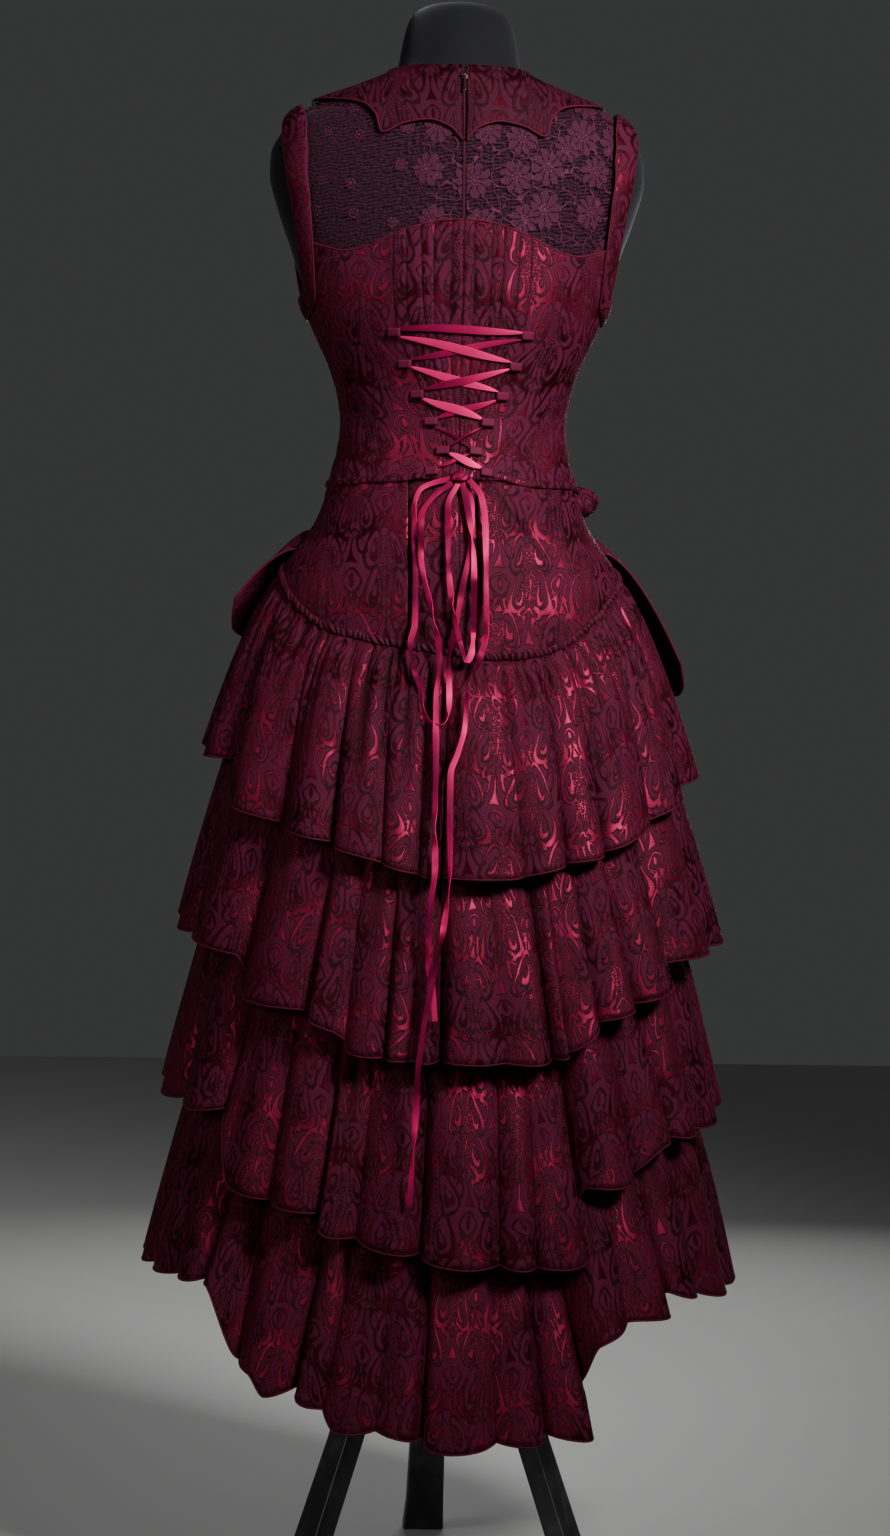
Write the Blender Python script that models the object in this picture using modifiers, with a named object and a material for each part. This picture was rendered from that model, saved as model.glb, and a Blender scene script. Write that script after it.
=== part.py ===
"""A sleeveless high-low gown with four ruffle tiers, on a limbless dress form.

Metres, +Z up. The back of the gown faces -Y and the wearer's right side +X.
A bearing is the angle round the gown: 0 at the centre back, 90 at the right
side seam, 180 at the centre front and -90 at the left side seam.
"""

import math
from collections import namedtuple

import bmesh
import bpy
from mathutils import Vector

# Cloth walls and the gaps between pieces
JACQUARD = 0.0014
LACE = 0.0010
RIBBON = 0.0006
GAP = 0.0004
LAP_GAP = 0.0010
SEAM_GAP = 0.0006

# Layers over the form, as heights of each piece's inner face above the body surface
YOKE_LIFT = 0.0
BODICE_LIFT = LACE + LAP_GAP * 1.9
COLLAR_LIFT = LACE + LAP_GAP * 1.6
BAND_LIFT = BODICE_LIFT + JACQUARD + LAP_GAP
ON_BODICE_LIFT = BAND_LIFT
HIP_CENTRE_LIFT = 0.0004
HIP_SIDE_LIFT = HIP_CENTRE_LIFT + JACQUARD + GAP
PEPLUM_LIFT = HIP_SIDE_LIFT + JACQUARD + LAP_GAP * 2.4
ZIP_LIFT = 0.0002

# Heights
WAIST_SEAM = 1.075
NAPE = 1.485
FORM_BASE = 0.850
HUB_TOP = 0.385
HUB_BASE = 0.330

# Centre back opening
ZIP_HALF = 0.0012
OPENING_HALF = 0.0018
ZIP_END = 0.925

# Half the gap at a side seam, in degrees
SIDE_SEAM = 0.18

# Skirt
COLUMNS = 96
HEADING = 0.0110
HEADING_PUCKERS = 32
HEADING_PROUD = 0.0058
HEADING_EDGE = 0.0010
TIER_OVERLAP = 0.065
TIER_TO_TIER = 0.0055
TIER_SEAT = (0.0010, 0.0004, 0.0004, -0.0002)
GATHERS = 48
GATHER_DEPTHS = (0.0040, 0.0030, 0.0)

# Ribbon, zip and stand
RIBBON_WIDTH = 0.0065
LACING_INSET = 0.0032
LACING_SINK = 0.0006
LACING_CROWN = 0.0019
BAR_RISE = 0.0014
BAR_ABOVE = 0.003
KNOT_LIFT = 0.0003
RIBBON_STEP = 0.021
LOOP_LENGTH = 0.012
LOOP_WIDTH = 0.008
SLIDER_Z = 1.4720
SLIDER_WIDTH = 0.0060
SLIDER_HEIGHT = 0.0090
SLIDER_WALL = 0.0014
EAR_GAP = 0.0003
EAR_OUTER = 0.0030
EAR_RISE = 0.0020
EAR_WIDTH = 0.0022
EAR_SINK = 0.0002
PULL_LENGTH = 0.020
PULL_WIDTH = 0.0034
PULL_WALL = 0.0009
PIVOT_RADIUS = 0.0008
PIVOT_GAP = 0.0003
POLE_RADIUS = 0.0125
HUB_RADIUS = 0.034
HUB_TAPER = 0.012
LEG_COUNT = 3

Section = namedtuple("Section", "z side back front")
BODY = (
    Section(1.5600, 0.048, 0.046, 0.040),
    Section(1.5050, 0.0615, 0.0570, 0.0500),
    Section(1.4870, 0.0690, 0.0620, 0.0540),
    Section(1.4700, 0.1030, 0.0710, 0.0560),
    Section(1.4550, 0.1410, 0.0770, 0.0580),
    Section(1.4400, 0.1660, 0.0820, 0.0620),
    Section(1.4240, 0.1810, 0.0860, 0.0680),
    Section(1.4050, 0.1895, 0.0895, 0.0750),
    Section(1.3850, 0.1905, 0.0920, 0.0840),
    Section(1.3500, 0.1820, 0.0950, 0.1020),
    Section(1.3100, 0.1680, 0.0970, 0.1210),
    Section(1.2700, 0.1540, 0.0970, 0.1310),
    Section(1.2300, 0.1370, 0.0940, 0.1270),
    Section(1.1900, 0.1190, 0.0885, 0.1110),
    Section(1.1600, 0.1110, 0.0850, 0.0970),
    Section(1.1360, 0.1085, 0.0835, 0.0890),
    Section(1.1120, 0.1110, 0.0850, 0.0870),
    Section(1.0880, 0.1170, 0.0895, 0.0890),
    Section(1.0640, 0.1230, 0.0955, 0.0920),
    Section(1.0400, 0.1320, 0.1020, 0.0970),
    Section(1.0160, 0.1470, 0.1085, 0.1030),
    Section(0.9920, 0.1640, 0.1145, 0.1080),
    Section(0.9700, 0.1720, 0.1185, 0.1110),
    Section(0.9400, 0.1770, 0.1220, 0.1120),
    Section(0.9070, 0.1790, 0.1230, 0.1100),
    Section(0.8500, 0.1740, 0.1170, 0.1040),
)

FormRing = namedtuple("FormRing", "z side back front")
FORM_CAP = (
    FormRing(1.5585, 0.020, 0.019, 0.017),
    FormRing(1.5540, 0.040, 0.038, 0.034),
    FormRing(1.5440, 0.0510, 0.0480, 0.0430),
    FormRing(1.5250, 0.0560, 0.0530, 0.0470),
)

# Gap between the form and the gown
Clearance = namedtuple("Clearance", "z inside")
FORM_CLEARANCE = (
    Clearance(0.850, 0.0030),
    Clearance(1.380, 0.0030),
    Clearance(1.440, 0.0028),
    Clearance(1.487, 0.0046),
    Clearance(1.505, 0.0020),
)

# Yoke: lower edge of the lace, which is the top edge of the bodice
EdgePoint = namedtuple("EdgePoint", "x z")
BODICE_TOP_BACK = (
    EdgePoint(0.000, 1.3290),
    EdgePoint(0.020, 1.3280),
    EdgePoint(0.045, 1.3220),
    EdgePoint(0.069, 1.3135),
    EdgePoint(0.087, 1.3035),
    EdgePoint(0.104, 1.3000),
    EdgePoint(0.125, 1.3050),
    EdgePoint(0.152, 1.3150),
)
BODICE_TOP_FRONT = (
    EdgePoint(0.000, 1.3150),
    EdgePoint(0.030, 1.3300),
    EdgePoint(0.070, 1.3360),
    EdgePoint(0.110, 1.3250),
    EdgePoint(0.152, 1.3150),
)
YOKE_UNDER_BODICE = 0.005
YOKE_LOW_HALF = 0.1450
YOKE_NECK_HALF = 0.055
YOKE_FRONT_DROP = 0.014
YOKE_SIDE_HEIGHTS = (1.4865, 1.4700, 1.4550, 1.4440)

# Half width of the shirred centre back panel
PanelWidth = namedtuple("PanelWidth", "z half")
CENTRE_PANEL = (
    PanelWidth(1.335, 0.0680),
    PanelWidth(1.270, 0.0660),
    PanelWidth(1.220, 0.0590),
    PanelWidth(1.190, 0.0460),
    PanelWidth(1.160, 0.0340),
    PanelWidth(1.133, 0.0220),
    PanelWidth(1.105, 0.0150),
    PanelWidth(1.070, 0.0165),
)
SHIRRS_PER_HALF = 4
SHIRR_DEPTH = 0.0022

# Collar half: ribs from the neck edge to the scalloped outer edge
CollarRib = namedtuple("CollarRib", "neck_bearing neck_z edge_bearing edge_z")
COLLAR = (
    CollarRib(1.5, 1.4850, 0.55, 1.4080),
    CollarRib(6.6, 1.4850, 4.4, 1.4205),
    CollarRib(13.4, 1.4850, 11.3, 1.4270),
    CollarRib(20.4, 1.4852, 18.7, 1.4235),
    CollarRib(26.7, 1.4855, 24.8, 1.4145),
    CollarRib(33.4, 1.4858, 29.2, 1.4320),
    CollarRib(41.0, 1.4862, 37.0, 1.4440),
    CollarRib(54.0, 1.4866, 52.0, 1.4500),
    CollarRib(66.0, 1.4868, 66.0, 1.4520),
    CollarRib(78.0, 1.4870, 79.0, 1.4532),
    CollarRib(90.0, 1.4870, 90.0, 1.4535),
    CollarRib(102.0, 1.4866, 101.0, 1.4528),
    CollarRib(114.0, 1.4860, 114.0, 1.4510),
    CollarRib(126.0, 1.4850, 128.0, 1.4480),
    CollarRib(136.0, 1.4830, 141.0, 1.4400),
    CollarRib(143.0, 1.4800, 149.0, 1.4260),
    CollarRib(150.0, 1.4770, 155.0, 1.4050),
    CollarRib(157.0, 1.4740, 161.0, 1.4120),
    CollarRib(165.0, 1.4715, 168.5, 1.4140),
    CollarRib(173.0, 1.4700, 175.0, 1.4060),
    CollarRib(179.0, 1.4690, 179.6, 1.3900),
)

# Armhole band: ribs from the inner edge to the arm edge, shoulder to underarm
BandRib = namedtuple("BandRib", "inner_bearing inner_z arm_bearing arm_z")
ARMHOLE_BAND = (
    BandRib(90.0, 1.4480, 90.0, 1.4400),
    BandRib(76.0, 1.4450, 82.0, 1.4375),
    BandRib(64.0, 1.4370, 76.0, 1.4310),
    BandRib(55.7, 1.4230, 69.6, 1.4200),
    BandRib(51.5, 1.3950, 63.6, 1.4000),
    BandRib(52.1, 1.3680, 61.8, 1.3750),
    BandRib(54.0, 1.3400, 63.1, 1.3450),
    BandRib(57.4, 1.3100, 66.4, 1.3150),
    BandRib(62.0, 1.2780, 70.5, 1.2880),
    BandRib(67.3, 1.2560, 74.0, 1.2700),
    BandRib(79.0, 1.2455, 82.0, 1.2635),
    BandRib(90.0, 1.2430, 90.0, 1.2620),
)
UNDER_BAND = 3.5

# Skirt seam below the hip yoke, by bearing
Height = namedtuple("Height", "bearing z")
HIP_SEAM = (
    Height(-180, 1.0150),
    Height(-120, 1.0080),
    Height(-90, 0.9960),
    Height(-75, 0.9830),
    Height(-61, 0.9600),
    Height(-48, 0.9400),
    Height(-34, 0.9270),
    Height(-20, 0.9190),
    Height(-2, 0.9110),
    Height(8, 0.9070),
    Height(17, 0.9080),
    Height(28, 0.9140),
    Height(37, 0.9250),
    Height(49, 0.9470),
    Height(68, 0.9790),
    Height(90, 0.9990),
    Height(120, 1.0080),
    Height(180, 1.0150),
)
HIP_CENTRE_LEFT = -0.054
HIP_CENTRE_RIGHT = 0.024
HIP_LAP = 0.006
HIP_SIDE_EDGE = 89.85

# Tiers: hem heights by bearing, ridge radii at the hem and fold valleys by bearing
TIER_1_HEM = (
    Height(-180, 0.910),
    Height(-140, 0.885),
    Height(-110, 0.838),
    Height(-87, 0.808),
    Height(-71, 0.799),
    Height(-66, 0.765),
    Height(-52, 0.745),
    Height(-29, 0.719),
    Height(-12, 0.696),
    Height(-4, 0.691),
    Height(10, 0.691),
    Height(23, 0.704),
    Height(35, 0.717),
    Height(47, 0.740),
    Height(68, 0.778),
    Height(79, 0.791),
    Height(100, 0.822),
    Height(140, 0.885),
    Height(180, 0.910),
)
TIER_2_HEM = (
    Height(-180, 0.750),
    Height(-140, 0.725),
    Height(-110, 0.670),
    Height(-86, 0.636),
    Height(-57, 0.611),
    Height(-53, 0.577),
    Height(-33, 0.560),
    Height(-27, 0.546),
    Height(-23, 0.527),
    Height(-13, 0.521),
    Height(-4, 0.519),
    Height(13, 0.5185),
    Height(22, 0.530),
    Height(28, 0.552),
    Height(35, 0.565),
    Height(43, 0.578),
    Height(54, 0.611),
    Height(86, 0.631),
    Height(110, 0.668),
    Height(140, 0.725),
    Height(180, 0.750),
)
TIER_3_HEM = (
    Height(-180, 0.580),
    Height(-140, 0.555),
    Height(-110, 0.505),
    Height(-76, 0.467),
    Height(-51, 0.460),
    Height(-47, 0.395),
    Height(-26, 0.371),
    Height(-22, 0.356),
    Height(-12, 0.344),
    Height(-6, 0.339),
    Height(3, 0.3295),
    Height(19, 0.329),
    Height(23, 0.337),
    Height(27, 0.3985),
    Height(37, 0.4065),
    Height(43, 0.4405),
    Height(59, 0.446),
    Height(74, 0.457),
    Height(110, 0.505),
    Height(140, 0.555),
    Height(180, 0.580),
)
TIER_4_HEM = (
    Height(-180, 0.430),
    Height(-140, 0.405),
    Height(-110, 0.345),
    Height(-94, 0.3105),
    Height(-63, 0.303),
    Height(-47, 0.302),
    Height(-43, 0.2295),
    Height(-38, 0.2245),
    Height(-35, 0.206),
    Height(-29, 0.2095),
    Height(-24, 0.197),
    Height(-20, 0.179),
    Height(-10, 0.177),
    Height(-5, 0.168),
    Height(1, 0.163),
    Height(12, 0.169),
    Height(22, 0.172),
    Height(26, 0.256),
    Height(29, 0.266),
    Height(37, 0.277),
    Height(42, 0.279),
    Height(45, 0.2965),
    Height(55, 0.289),
    Height(75, 0.287),
    Height(110, 0.345),
    Height(140, 0.405),
    Height(180, 0.430),
)

Valley = namedtuple("Valley", "bearing depth")
SOFT = 0.013
DEEP = 0.022
FRONT_VALLEYS = tuple(Valley(b, SOFT) for b in (92, 107, 123, 138, 152, 166, 181, 196, 211, 226, 241, 256, 270))
Tier = namedtuple("Tier", "name hem side back front shift swell valleys")
TIERS = (
    Tier("ruffle_tier_1", TIER_1_HEM, 0.2490, 0.215, 0.190, 0.003, 0.72, (
        Valley(-70, SOFT), Valley(-49, SOFT), Valley(-35, SOFT), Valley(-27, SOFT),
        Valley(-17, SOFT), Valley(-7, DEEP), Valley(4, SOFT), Valley(17, SOFT),
        Valley(29, DEEP), Valley(41, SOFT), Valley(53, SOFT), Valley(68, SOFT))),
    Tier("ruffle_tier_2", TIER_2_HEM, 0.2735, 0.242, 0.215, 0.0060, 0.75, (
        Valley(-77, SOFT), Valley(-55, DEEP), Valley(-43, SOFT), Valley(-32, SOFT),
        Valley(-25, SOFT), Valley(-16, SOFT), Valley(-6, DEEP), Valley(4, SOFT),
        Valley(13, SOFT), Valley(25, SOFT), Valley(33, SOFT), Valley(44, SOFT),
        Valley(55, SOFT), Valley(73, SOFT))),
    Tier("ruffle_tier_3", TIER_3_HEM, 0.2810, 0.262, 0.240, 0.0000, 0.68, (
        Valley(-72, SOFT), Valley(-49, DEEP), Valley(-36, SOFT), Valley(-25, SOFT),
        Valley(-17, SOFT), Valley(-9, SOFT), Valley(0, SOFT), Valley(9, SOFT),
        Valley(16, SOFT), Valley(25, DEEP), Valley(38, SOFT), Valley(46, DEEP),
        Valley(60, SOFT), Valley(76, SOFT))),
    Tier("ruffle_tier_4", TIER_4_HEM, 0.2970, 0.279, 0.279, 0.0000, 0.65, (
        Valley(-76, SOFT), Valley(-60, SOFT), Valley(-46, DEEP), Valley(-37, SOFT),
        Valley(-27, SOFT), Valley(-18, SOFT), Valley(-7, DEEP), Valley(5, SOFT),
        Valley(14, SOFT), Valley(24, DEEP), Valley(32, SOFT), Valley(43, DEEP),
        Valley(56, SOFT), Valley(73, SOFT))),
)
VALLEY_WIDTH = 3.4

# Foundation skirt that carries the tiers
FOUNDATION_SIDE = 0.236
FOUNDATION_BACK = 0.208
FOUNDATION_FRONT = 0.200
FOUNDATION_BELL = 1.8
FOUNDATION_TAIL = 0.045
HIP_PLAN = 0.900
ROUND_PLAN = 0.700

# Front peplum, by bearing: height and radius of its lower edge
PeplumEdge = namedtuple("PeplumEdge", "bearing top bottom radius")
PEPLUM = (
    PeplumEdge(94, 1.0150, 0.9050, 0.2355),
    PeplumEdge(97, 1.0250, 0.8830, 0.2410),
    PeplumEdge(103, 1.0330, 0.8740, 0.2420),
    PeplumEdge(115, 1.0350, 0.8760, 0.2390),
    PeplumEdge(130, 1.0350, 0.8900, 0.2290),
    PeplumEdge(145, 1.0350, 0.9040, 0.2170),
    PeplumEdge(160, 1.0350, 0.9150, 0.2080),
    PeplumEdge(180, 1.0350, 0.9220, 0.2040),
    PeplumEdge(200, 1.0350, 0.9240, 0.2060),
    PeplumEdge(215, 1.0350, 0.9250, 0.2100),
    PeplumEdge(230, 1.0350, 0.9250, 0.2150),
    PeplumEdge(245, 1.0350, 0.9260, 0.2180),
    PeplumEdge(257, 1.0330, 0.9320, 0.2190),
    PeplumEdge(263, 1.0250, 0.9440, 0.2170),
    PeplumEdge(267, 1.0120, 0.9620, 0.2140),
)
PEPLUM_STEPS = 4

# Waist ties: half their width and the bearings of their ends
TIE_HALF_WIDTH = 0.0032
TIE_NEAR = 19.0
TIE_FAR = 88.0

# Rosette at the right front of the waist
ROSETTE_BEARING = 107
ROSETTE_Z = 1.0615
ROSETTE_RADIUS = 0.0195
ROSETTE_HEIGHT = 0.030
ROSETTE_PETALS = 5
ROSETTE_ARM = 0.118
ROSETTE_BASE_LIFT = 0.0047
ROSETTE_FOOT_LIFT = 0.0058
ROSETTE_LOBE = 0.10
# From the top down: share of the radius and share of the height
ROSETTE_PROFILE = ((0.30, 1.0), (0.70, 0.93), (0.98, 0.66), (1.0, 0.34), (0.72, 0.08))

# Lacing loops, top to bottom: half spread, height, and how far each stands proud to clear the shirring
LoopPair = namedtuple("LoopPair", "x z proud")
LOOPS = (
    LoopPair(0.0630, 1.2200, 0.0004),
    LoopPair(0.0520, 1.1905, 0.0007),
    LoopPair(0.0400, 1.1605, 0.0009),
    LoopPair(0.0265, 1.1330, 0.0020),
    LoopPair(0.0155, 1.1045, 0.0013),
    LoopPair(0.0260, 1.0830, 0.0000),
)

# The knot that ties the lacing, from top to bottom
KnotRing = namedtuple("KnotRing", "z half thick")
KNOT = (
    KnotRing(1.0845, 0.0050, 0.0055),
    KnotRing(1.0815, 0.0078, 0.0075),
    KnotRing(1.0775, 0.0078, 0.0080),
    KnotRing(1.0750, 0.0070, 0.0075),
)

# How far a hanging ribbon lies from the axis at each height
RibbonDepth = namedtuple("RibbonDepth", "z depth")
RIBBON_DEPTH = (
    RibbonDepth(1.090, 0.0960),
    RibbonDepth(1.060, 0.1030),
    RibbonDepth(1.040, 0.1090),
    RibbonDepth(1.000, 0.1200),
    RibbonDepth(0.950, 0.1300),
    RibbonDepth(0.915, 0.1370),
    RibbonDepth(0.890, 0.1460),
    RibbonDepth(0.850, 0.1625),
    RibbonDepth(0.800, 0.1835),
    RibbonDepth(0.750, 0.2015),
    RibbonDepth(0.700, 0.2165),
    RibbonDepth(0.680, 0.2190),
    RibbonDepth(0.650, 0.2210),
    RibbonDepth(0.600, 0.2300),
    RibbonDepth(0.550, 0.2410),
    RibbonDepth(0.515, 0.2465),
    RibbonDepth(0.450, 0.2500),
    RibbonDepth(0.380, 0.2580),
)
RIBBON_SWEEP = 0.200
RIBBON_LAYER = 0.0016

# Ribbon routes seen from behind, from the knot to the free end or back to the knot
RoutePoint = namedtuple("RoutePoint", "x z")
BOW_LONG = (
    RoutePoint(-0.0085, 1.0770),
    RoutePoint(-0.0240, 1.0730),
    RoutePoint(-0.0375, 1.0660),
    RoutePoint(-0.0430, 1.0500),
    RoutePoint(-0.0430, 1.0180),
    RoutePoint(-0.0420, 0.9750),
    RoutePoint(-0.0425, 0.9340),
    RoutePoint(-0.0465, 0.9150),
    RoutePoint(-0.0440, 0.8920),
    RoutePoint(-0.0370, 0.8700),
    RoutePoint(-0.0350, 0.8520),
    RoutePoint(-0.0280, 0.8390),
    RoutePoint(-0.0180, 0.8370),
    RoutePoint(-0.0110, 0.8470),
    RoutePoint(-0.0100, 0.8700),
    RoutePoint(-0.0110, 0.8950),
    RoutePoint(-0.0050, 0.9250),
    RoutePoint(0.0030, 0.9700),
    RoutePoint(0.0110, 1.0150),
    RoutePoint(0.0120, 1.0480),
    RoutePoint(0.0070, 1.0735),
)
BOW_SHORT = (
    RoutePoint(-0.0008, 1.0732),
    RoutePoint(-0.0110, 1.0500),
    RoutePoint(-0.0110, 1.0000),
    RoutePoint(-0.0070, 0.9550),
    RoutePoint(0.0000, 0.9200),
    RoutePoint(0.0075, 0.8990),
    RoutePoint(0.0120, 0.9080),
    RoutePoint(0.0140, 0.9450),
    RoutePoint(0.0140, 0.9900),
    RoutePoint(0.0100, 1.0350),
    RoutePoint(0.0030, 1.0738),
)
TAIL_SHORT = (
    RoutePoint(-0.0070, 1.0727),
    RoutePoint(-0.0240, 1.0600),
    RoutePoint(-0.0370, 1.0380),
    RoutePoint(-0.0370, 1.0000),
    RoutePoint(-0.0330, 0.9750),
    RoutePoint(-0.0250, 0.9420),
    RoutePoint(-0.0190, 0.8980),
    RoutePoint(-0.0230, 0.8600),
    RoutePoint(-0.0235, 0.8100),
    RoutePoint(-0.0245, 0.7500),
    RoutePoint(-0.0250, 0.7000),
    RoutePoint(-0.0290, 0.6650),
    RoutePoint(-0.0305, 0.6200),
    RoutePoint(-0.0260, 0.5850),
    RoutePoint(-0.0240, 0.5600),
)
TAIL_LONG = (
    RoutePoint(0.0092, 1.0762),
    RoutePoint(0.0210, 1.0600),
    RoutePoint(0.0250, 1.0250),
    RoutePoint(0.0255, 0.9700),
    RoutePoint(0.0260, 0.9300),
    RoutePoint(0.0190, 0.9000),
    RoutePoint(0.0070, 0.8750),
    RoutePoint(0.0040, 0.8350),
    RoutePoint(-0.0030, 0.8100),
    RoutePoint(-0.0100, 0.7900),
    RoutePoint(-0.0110, 0.7400),
    RoutePoint(-0.0110, 0.7000),
    RoutePoint(-0.0160, 0.6500),
    RoutePoint(-0.0260, 0.6000),
    RoutePoint(-0.0350, 0.5500),
    RoutePoint(-0.0395, 0.5100),
    RoutePoint(-0.0420, 0.4500),
    RoutePoint(-0.0460, 0.3900),
)

LegRing = namedtuple("LegRing", "reach z half_width half_depth")
LEG = (
    LegRing(0.0341, 0.3700, 0.0090, 0.0110),
    LegRing(0.0341, 0.3350, 0.0100, 0.0110),
    LegRing(0.0620, 0.2400, 0.0150, 0.0110),
    LegRing(0.0950, 0.1350, 0.0170, 0.0110),
    LegRing(0.1330, 0.0350, 0.0190, 0.0110),
    LegRing(0.1560, 0.0000, 0.0210, 0.0130),
)


def smooth(table, at):
    """The value at a place in a table of pairs, on a smooth curve that never overshoots a row."""
    pairs = sorted((row[0], row[1]) for row in table)
    if at <= pairs[0][0]:
        return pairs[0][1]
    if at >= pairs[-1][0]:
        return pairs[-1][1]
    high = next(i for i, pair in enumerate(pairs) if pair[0] >= at)
    low = high - 1
    slopes = [
        (b[1] - a[1]) / (b[0] - a[0])
        for a, b in zip(pairs[:-1], pairs[1:])
    ]

    def tangent(i):
        if i == 0 or i == len(pairs) - 1:
            return slopes[min(i, len(slopes) - 1)]
        before, after = slopes[i - 1], slopes[i]
        if before * after <= 0:
            return 0.0
        return 2 * before * after / (before + after)

    span = pairs[high][0] - pairs[low][0]
    t = (at - pairs[low][0]) / span
    rise = pairs[high][1] - pairs[low][1]
    start = tangent(low) * span
    end = tangent(high) * span
    return pairs[low][1] + start * t + (3 * rise - 2 * start - end) * t ** 2 + (start + end - 2 * rise) * t ** 3


def section(z):
    """Half width, back depth and front depth of the body surface at a height."""
    return (
        smooth([(row.z, row.side) for row in BODY], z),
        smooth([(row.z, row.back) for row in BODY], z),
        smooth([(row.z, row.front) for row in BODY], z),
    )


def ring_point(bearing, z, side, back, front):
    """The point of a plan section at a bearing in degrees."""
    angle = math.radians(bearing)
    depth = back if math.cos(angle) > 0 else front
    return Vector((side * math.sin(angle), -depth * math.cos(angle), z))


def body(bearing, z, lift=0.0):
    """A point of the body surface, moved out along the surface's normal."""
    turn = 0.5
    climb = 0.002
    middle = ring_point(bearing, z, *section(z))
    across = ring_point(bearing + turn, z, *section(z)) - ring_point(bearing - turn, z, *section(z))
    above = ring_point(bearing, z + climb, *section(z + climb))
    below = ring_point(bearing, z - climb, *section(z - climb))
    return middle + across.cross(above - below).normalized() * lift


def bearing_at(x, z, front=False):
    """The bearing of the body surface's point at a distance from the middle."""
    side = section(z)[0]
    bearing = math.degrees(math.asin(max(-1.0, min(1.0, x / side))))
    return 180 - bearing if front else bearing


def blend(a, b, t):
    """The value a share t of the way from a to b."""
    return a + (b - a) * t


def periodic(bearing):
    """A bearing between -180 and 180."""
    return (bearing + 180) % 360 - 180


def material(name, colour, roughness, metallic=0.0):
    """A plain finish for one sub-part."""
    finish = bpy.data.materials.new(name)
    finish.use_nodes = True
    shader = finish.node_tree.nodes["Principled BSDF"]
    shader.inputs["Base Color"].default_value = (*colour, 1.0)
    shader.inputs["Roughness"].default_value = roughness
    shader.inputs["Metallic"].default_value = metallic
    return finish


def place(name, mesh, finish, collection):
    """An object of the gown's collection, under the gown's empty."""
    mesh.materials.append(finish)
    mesh.shade_smooth()
    piece = bpy.data.objects.new(name, mesh)
    collection.objects.link(piece)
    piece.parent = bpy.data.objects["gown"]
    return piece


def sheet(name, rows, wall, finish, collection, closed=False):
    """A cloth piece: a grid moved onto rows of points on its inner face, then given its wall outwards.

    Rows run from top to bottom and columns by rising bearing. A closed sheet is a tube.
    """
    columns = [row + [row[0]] for row in rows] if closed else rows
    across = len(columns[0]) - 1
    down = len(columns) - 1
    shape = bmesh.new()
    bmesh.ops.create_grid(shape, x_segments=across, y_segments=down, size=0.5)
    for vertex in shape.verts:
        i = round((vertex.co.x + 0.5) * across)
        j = round((0.5 - vertex.co.y) * down)
        vertex.co = columns[j][i]
    if closed:
        bmesh.ops.remove_doubles(shape, verts=shape.verts, dist=0.00001)
    mesh = bpy.data.meshes.new(name)
    shape.to_mesh(mesh)
    shape.free()
    piece = place(name, mesh, finish, collection)
    skin = piece.modifiers.new("wall", "SOLIDIFY")
    skin.thickness = wall
    skin.offset = 1.0
    return piece


def loft(name, rings, finish, collection):
    """A closed solid through rings of points, which run from top to bottom, with flat ends."""
    shape = bmesh.new()
    loops = [[shape.verts.new(point) for point in ring] for ring in rings]
    count = len(loops[0])
    for upper, lower in zip(loops[:-1], loops[1:]):
        for i in range(count):
            j = (i + 1) % count
            shape.faces.new((upper[i], lower[i], lower[j], upper[j]))
    shape.faces.new(loops[0])
    shape.faces.new(list(reversed(loops[-1])))
    bmesh.ops.recalc_face_normals(shape, faces=shape.faces)
    mesh = bpy.data.meshes.new(name)
    shape.to_mesh(mesh)
    shape.free()
    return place(name, mesh, finish, collection)


def steps(count):
    """Even shares from 0 to 1."""
    return [i / count for i in range(count + 1)]


# Dress form and stand


def build_form(finish, collection):
    """The limbless torso: neck cap, shoulders, bust, waist and hips down to its flat base."""
    bearings = around(20)
    rings = [[ring_point(b, row.z, row.side, row.back, row.front) for b in bearings] for row in FORM_CAP]
    for row in BODY[1:]:
        rings.append([form_point(b, row.z) for b in bearings])
    loft("form_torso", rings, finish, collection)


def form_point(bearing, z):
    """A point of the dress form, just inside the gown: near at the shoulders, which carry it."""
    inside = smooth(FORM_CLEARANCE, z)
    point = body(bearing, z, -inside)
    if z == FORM_BASE:
        point.z = FORM_BASE
    return point


def disc(radius, z, count=24):
    """Points round a circle on the stand's axis."""
    return [
        Vector((radius * math.cos(math.tau * i / count), radius * math.sin(math.tau * i / count), z))
        for i in range(count)
    ]


def build_stand(finish, collection):
    """A pole, a hub under it and three splayed legs."""
    pole = [disc(POLE_RADIUS, FORM_BASE - GAP), disc(POLE_RADIUS, HUB_TOP + GAP)]
    loft("stand_pole", pole, finish, collection)
    hub = [disc(HUB_RADIUS * 0.7, HUB_TOP), disc(HUB_RADIUS, HUB_TOP - HUB_TAPER)]
    hub += [disc(HUB_RADIUS, HUB_BASE + HUB_TAPER), disc(HUB_RADIUS * 0.8, HUB_BASE)]
    loft("stand_hub", hub, finish, collection)
    for number in range(LEG_COUNT):
        angle = math.radians(90 + 120 * number)
        out = Vector((math.cos(angle), math.sin(angle), 0))
        aside = Vector((-math.sin(angle), math.cos(angle), 0))
        rings = []
        for row in LEG:
            middle = out * (row.reach + GAP) + Vector((0, 0, row.z))
            far = middle + out * row.half_depth * 2
            rings.append([
                middle - aside * row.half_width,
                middle + aside * row.half_width,
                far + aside * row.half_width,
                far - aside * row.half_width,
            ])
        loft(f"stand_leg_{number + 1}", rings, finish, collection)


# Yoke, collar and armhole bands


def mirrored(rows):
    """Rows of the other side of the gown, their columns still by rising bearing."""
    return [[Vector((-p.x, p.y, p.z)) for p in reversed(row)] for row in rows]


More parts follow.
